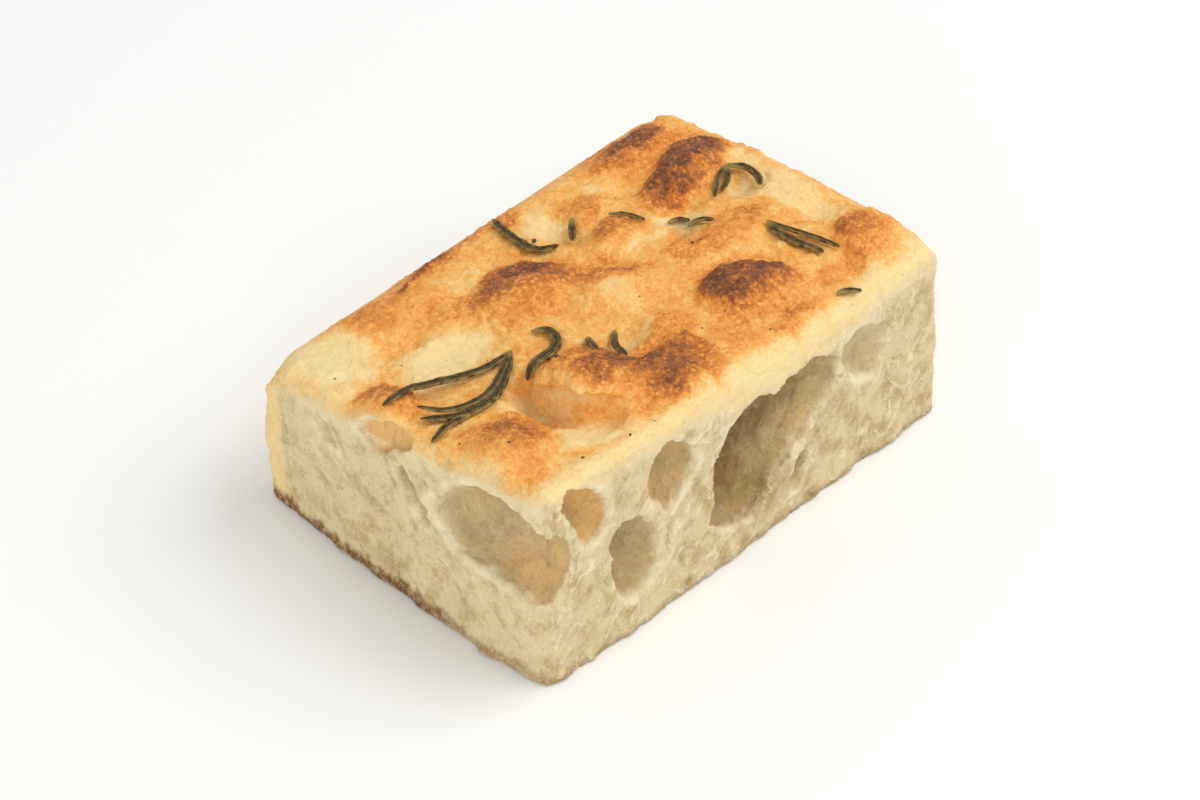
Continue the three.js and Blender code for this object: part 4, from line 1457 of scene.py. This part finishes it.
def bezier_through(name, places):
    """A curve object that runs smoothly through places, and its curve."""
    line = bpy.data.curves.new(name, "CURVE")
    line.dimensions = "3D"
    spline = line.splines.new("BEZIER")
    spline.bezier_points.add(len(places) - 1)
    for point, place in zip(spline.bezier_points, places):
        point.co = place
        point.handle_left_type = "AUTO"
        point.handle_right_type = "AUTO"
    curve = bpy.data.objects.new(name, line)
    bpy.context.scene.collection.objects.link(curve)
    return curve, line


def along_path(path, steps):
    """Places at even steps along a smooth curve through the path's points."""
    helper, line = bezier_through("path", [(x, y, 0) for x, y in path])
    line.resolution_u = 24
    bpy.context.view_layer.update()
    made = helper.to_mesh()
    fine_line = np.array([v.co[:2] for v in made.vertices])
    helper.to_mesh_clear()
    bpy.data.objects.remove(helper, do_unlink=True)
    run = np.concatenate([[0], np.cumsum(np.hypot(*np.diff(fine_line, axis=0).T))])
    even = np.linspace(0, run[-1], steps + 1)
    return np.column_stack([np.interp(even, run, fine_line[:, k]) for k in (0, 1)])


top_points = points_of(bread)
top_tree = search_tree(top_points * np.array([1, 1, 0]))


def ground_under(x, y, reach=0.9):
    """Height of the finished crust's highest point near a place, also just past the cut edge."""
    held_x = max(x, 2 - LENGTH / 2)
    held_y = max(y, 2 - WIDTH / 2)
    found = [top_points[k][2] for _, k, _ in top_tree.find_range((held_x, held_y, 0), reach)]
    return max(found) if found else float(crust_height(np.array([held_x]), np.array([held_y]))[0])


def resting_heights(places):
    """Heights at which a stiff leaf rests on the crust."""
    ground = [ground_under(x, y) for x, y in places]
    rest = []
    for i, height in enumerate(ground):
        bridge = height
        for a in range(i + 1):
            for b in range(max(i, a + 1), len(ground)):
                share = (i - a) / (b - a)
                bridge = max(bridge, ground[a] * (1 - share) + ground[b] * share)
        rest.append(height * (1 - LEAF_STIFFNESS) + bridge * LEAF_STIFFNESS)
    return np.array(rest)


print("leaves:", sum(len(leaves) for leaves in SPRIGS.values()))

# %% [markdown]
# The straight needle starts as a cylinder. Its long edges are subdivided, and each vertex then
# moves: the top gets its groove, the underside its hollow between the rolled edges, and both ends
# draw in. The place along and across the leaf is stored for the finish. A leaf could be drawn in
# profile and lathed, but its groove and its underside aren't round.

# %% One straight needle
NEEDLE_ROUND = 24
NEEDLE_CUTS = 43


def straight_needle(name, width, length):
    """A needle along X from 0 to its length, in metres."""
    bpy.ops.object.select_all(action="DESELECT")
    bpy.ops.mesh.primitive_cylinder_add(
        vertices=NEEDLE_ROUND, radius=1, depth=1, rotation=(0, math.pi / 2, 0)
    )
    needle = bpy.context.object
    needle.name = name
    bpy.ops.object.transform_apply(location=True, rotation=True, scale=True)
    cut_along(needle, 0, NEEDLE_CUTS)
    t, across, up = vectors_of(needle).T
    t = t + 0.5
    swell = (1 - 0.28 * (2 * t - 1) ** 2) * np.sqrt(1 - 0.97 * np.abs(2 * t - 1) ** 10)
    swell = swell * (1 - 0.3 * ramp(t, 0.14, 0.0))
    groove = 0.45 * np.exp(-((across / 0.2) ** 2)) * ramp(up, 0.2, 0.6)
    rolled = 0.75 * np.exp(-((across / 0.42) ** 2)) * ramp(up, -0.2, -0.6)
    rounded = np.sign(up) * np.abs(up) ** 0.75
    wobble = []
    for a, b, c in zip(t * length / 2.2, across, up):
        wobble.append(noise.fractal(Vector((a, length + b, c)), 0.8, 2, 3))
    wobble = np.array(wobble)
    y = across * swell * width / 2 * (1 + 0.12 * wobble)
    z = (rounded - groove + rolled) * np.sqrt(swell) * LEAF_THICK / 2 + 0.1 * wobble * swell
    needle.data.vertices.foreach_set("co", (np.column_stack([t * length, y, z]) * MM).ravel())
    store(needle, "along", t * length)
    store(needle, "across", across)
    store(needle, "top", up)
    return needle


def bend_leaf(name, width, lift, path):
    """One leaf: a straight needle bent along its path over the crust."""
    places = along_path(path, LEAF_STEPS)
    t = np.linspace(0, 1, LEAF_STEPS + 1)
    heights = resting_heights(places) + LEAF_THICK / 2 - LEAF_SUNK + lift * (0.3 + t * t)
    resting = np.column_stack([places + MIDDLE[:2], heights])
    route, line = bezier_through("route", [Vector(p) * MM for p in resting])
    line.twist_mode = "Z_UP"
    line.resolution_u = 12
    line.use_stretch = True
    line.use_deform_bounds = True
    leaf = straight_needle(name, width, float(np.hypot(*np.diff(places, axis=0).T).sum()))
    modify(leaf, "CURVE", object=route)
    bpy.data.objects.remove(route, do_unlink=True)
    return leaf


print("needle:", NEEDLE_ROUND * (NEEDLE_CUTS + 1), "side faces")

# %% [markdown]
# ## Finish of the rosemary
# Roasted rosemary is dark olive brown, paler along the rolled edges and the ends, and dull with a slight
# sheen of oil. Its middle, where the groove runs, is painted darker, a painted shade. The fine wrinkles run
# along the leaf, so the pattern reads the stored place along and across it. A pattern that reads the place in
# space wouldn't turn with a bent leaf.

# %% Finish of the rosemary
# the leaf's own dark olive, also used as painted shade in its groove
LEAF_DARK_AND_GROOVE_SHADE = (0.03, 0.018, 0.006, 1)
LEAF_OLIVE = (0.22, 0.14, 0.042, 1)
LEAF_DRY = (0.29, 0.20, 0.07, 1)
LEAF_RIM = (0.40, 0.28, 0.09, 1)
STALK = (0.36, 0.27, 0.085, 1)

leaf_finish, tree, shader = finish("roasted_rosemary")
along = attribute(tree, "along")
across = attribute(tree, "across")
leaf_links = [
    ("X", times(tree, along, 0.35)), ("Y", times(tree, across, 3.0)), ("Z", attribute(tree, "top")),
]
leaf_place = node(tree, "ShaderNodeCombineXYZ", leaf_links).outputs[0]
streak = node(tree, "ShaderNodeTexNoise", [("Vector", leaf_place)], Scale=2.2, Detail=4.0).outputs["Fac"]
place = node(tree, "ShaderNodeTexCoord").outputs["Object"]
from_middle = number(tree, "ABSOLUTE", across, 0.0)
rim = spread(tree, from_middle, 0.62, 0.95, 0.0, 0.75)
leaf_coats = [
    (spread(tree, streak, 0.4, 0.68), LEAF_OLIVE),
    (patches(tree, place, (3.0,), 0.52, 0.75, 0.0, 0.75), LEAF_DRY),
    (times(tree, rim, patches(tree, place, (1.6,), 0.35, 0.6)), LEAF_RIM),
    # Painted shade: the leaf is painted darker along its middle, where the groove runs.
    (spread(tree, from_middle, 0.26, 0.06, 0.0, 0.7), LEAF_DARK_AND_GROOVE_SHADE),
    (spread(tree, along, 3.2, 0.4, 0.0, 0.8), STALK),
]
tree.links.new(painted(tree, LEAF_DARK_AND_GROOVE_SHADE, leaf_coats), shader.inputs["Base Color"])
shader.inputs["Roughness"].default_value = 0.5
shader.inputs["Specular IOR Level"].default_value = 0.18
wrinkle = node(tree, "ShaderNodeBump", [("Height", streak)], Strength=0.7, Distance=0.2 * MM)
tree.links.new(wrinkle.outputs["Normal"], shader.inputs["Normal"])
print("coats on a leaf:", len(leaf_coats))

# %% [markdown]
# Leaves that grow from one stalk are one piece, so each sprig's needles are bent one by one and
# joined. They could stay apart, but joined they can be moved as the one piece they are.

# %% Leaves on the crust
def joined(pieces, name, material):
    """The pieces as one smooth object with a name and a material."""
    bpy.ops.object.select_all(action="DESELECT")
    for piece in pieces:
        piece.select_set(True)
    bpy.context.view_layer.objects.active = pieces[0]
    if len(pieces) > 1:
        bpy.ops.object.join()
    whole = bpy.context.object
    whole.name = name
    bpy.ops.object.shade_smooth()
    whole.data.materials.clear()
    whole.data.materials.append(material)
    return whole


for sprig_name, leaves in SPRIGS.items():
    made = []
    for k, (width, lift, path) in enumerate(leaves):
        made.append(bend_leaf("needle_%d" % k, width, lift, path))
    sprig = joined(made, "roasted_" + sprig_name, leaf_finish)
    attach(sprig, "root")
    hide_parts(sprig_name)
print("rosemary pieces:", len(SPRIGS))

# %% [markdown]
# ## Burnt specks
# A few crumbs of charred flour and herb lie baked onto the crust, most under a millimetre wide.
# Each could be painted on, but a speck has an edge that catches light, so each is a small ball
# with few faces, pressed flat and pulled uneven, and all are joined in one piece.

# %% Burnt specks
# x, y and width of each speck, where the photo shows it, then how many more lie at random
SPECKS = [
    (-55.2, 23.3, 0.45), (-54.2, -25.9, 0.6), (-46, -38, 0.5), (-34.5, -40, 0.5), (2.5, -25.8, 0.4),
    (9.5, -25.8, 0.4), (-27.9, -25.6, 0.5), (23.2, -4.6, 1.0), (24.5, -5.6, 0.5), (-56.5, -14.3, 0.4),
    (-25.8, -9.7, 1.3), (-24.9, -10.6, 0.9), (11.6, -36.4, 0.4), (-27.2, -39.8, 0.4), (2, 24.6, 1.2),
    (3.4, 23.2, 1.0), (0.5, 25.8, 0.8),
]
MORE_SPECKS = 9
CHAR_BLACK = (0.03, 0.016, 0.008, 1)
CHAR_BROWN = (0.16, 0.07, 0.025, 1)

spread_dice = random.Random(19)
specks = list(SPECKS)
for _ in range(MORE_SPECKS):
    at_x = spread_dice.uniform(-0.46, 0.46) * LENGTH
    at_y = spread_dice.uniform(-0.46, 0.42) * WIDTH
    specks.append((at_x, at_y, spread_dice.uniform(0.25, 0.4)))

char_finish, tree, shader = finish("char")
place = node(tree, "ShaderNodeTexCoord").outputs["Object"]
char_colour = blend(tree, grain(tree, place, 0.5), CHAR_BLACK, CHAR_BROWN)
tree.links.new(char_colour, shader.inputs["Base Color"])
shader.inputs["Roughness"].default_value = 0.7

made = []
for x, y, width in specks:
    bpy.ops.object.select_all(action="DESELECT")
    bpy.ops.mesh.primitive_ico_sphere_add(subdivisions=2, radius=1)
    speck = bpy.context.object
    stretch = spread_dice.uniform(1.0, 1.7)
    turn = spread_dice.uniform(0, math.pi)
    middle = Vector((x + MIDDLE[0], y + MIDDLE[1], ground_under(x, y, 0.5)))
    for vertex in speck.data.vertices:
        uneven = 1 + 0.3 * noise.noise(vertex.co * 1.7 + middle)
        u = vertex.co.x * uneven * stretch * width / 2
        v = vertex.co.y * uneven * width / 2
        side_x = u * math.cos(turn) - v * math.sin(turn)
        side_y = u * math.sin(turn) + v * math.cos(turn)
        vertex.co = (middle + Vector((side_x, side_y, vertex.co.z * uneven * width * 0.22))) * MM
    made.append(speck)
burnt_specks = joined(made, "burnt_specks", char_finish)
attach(burnt_specks, "root")
print("burnt specks:", len(specks), "|", len(burnt_specks.data.polygons), "faces")
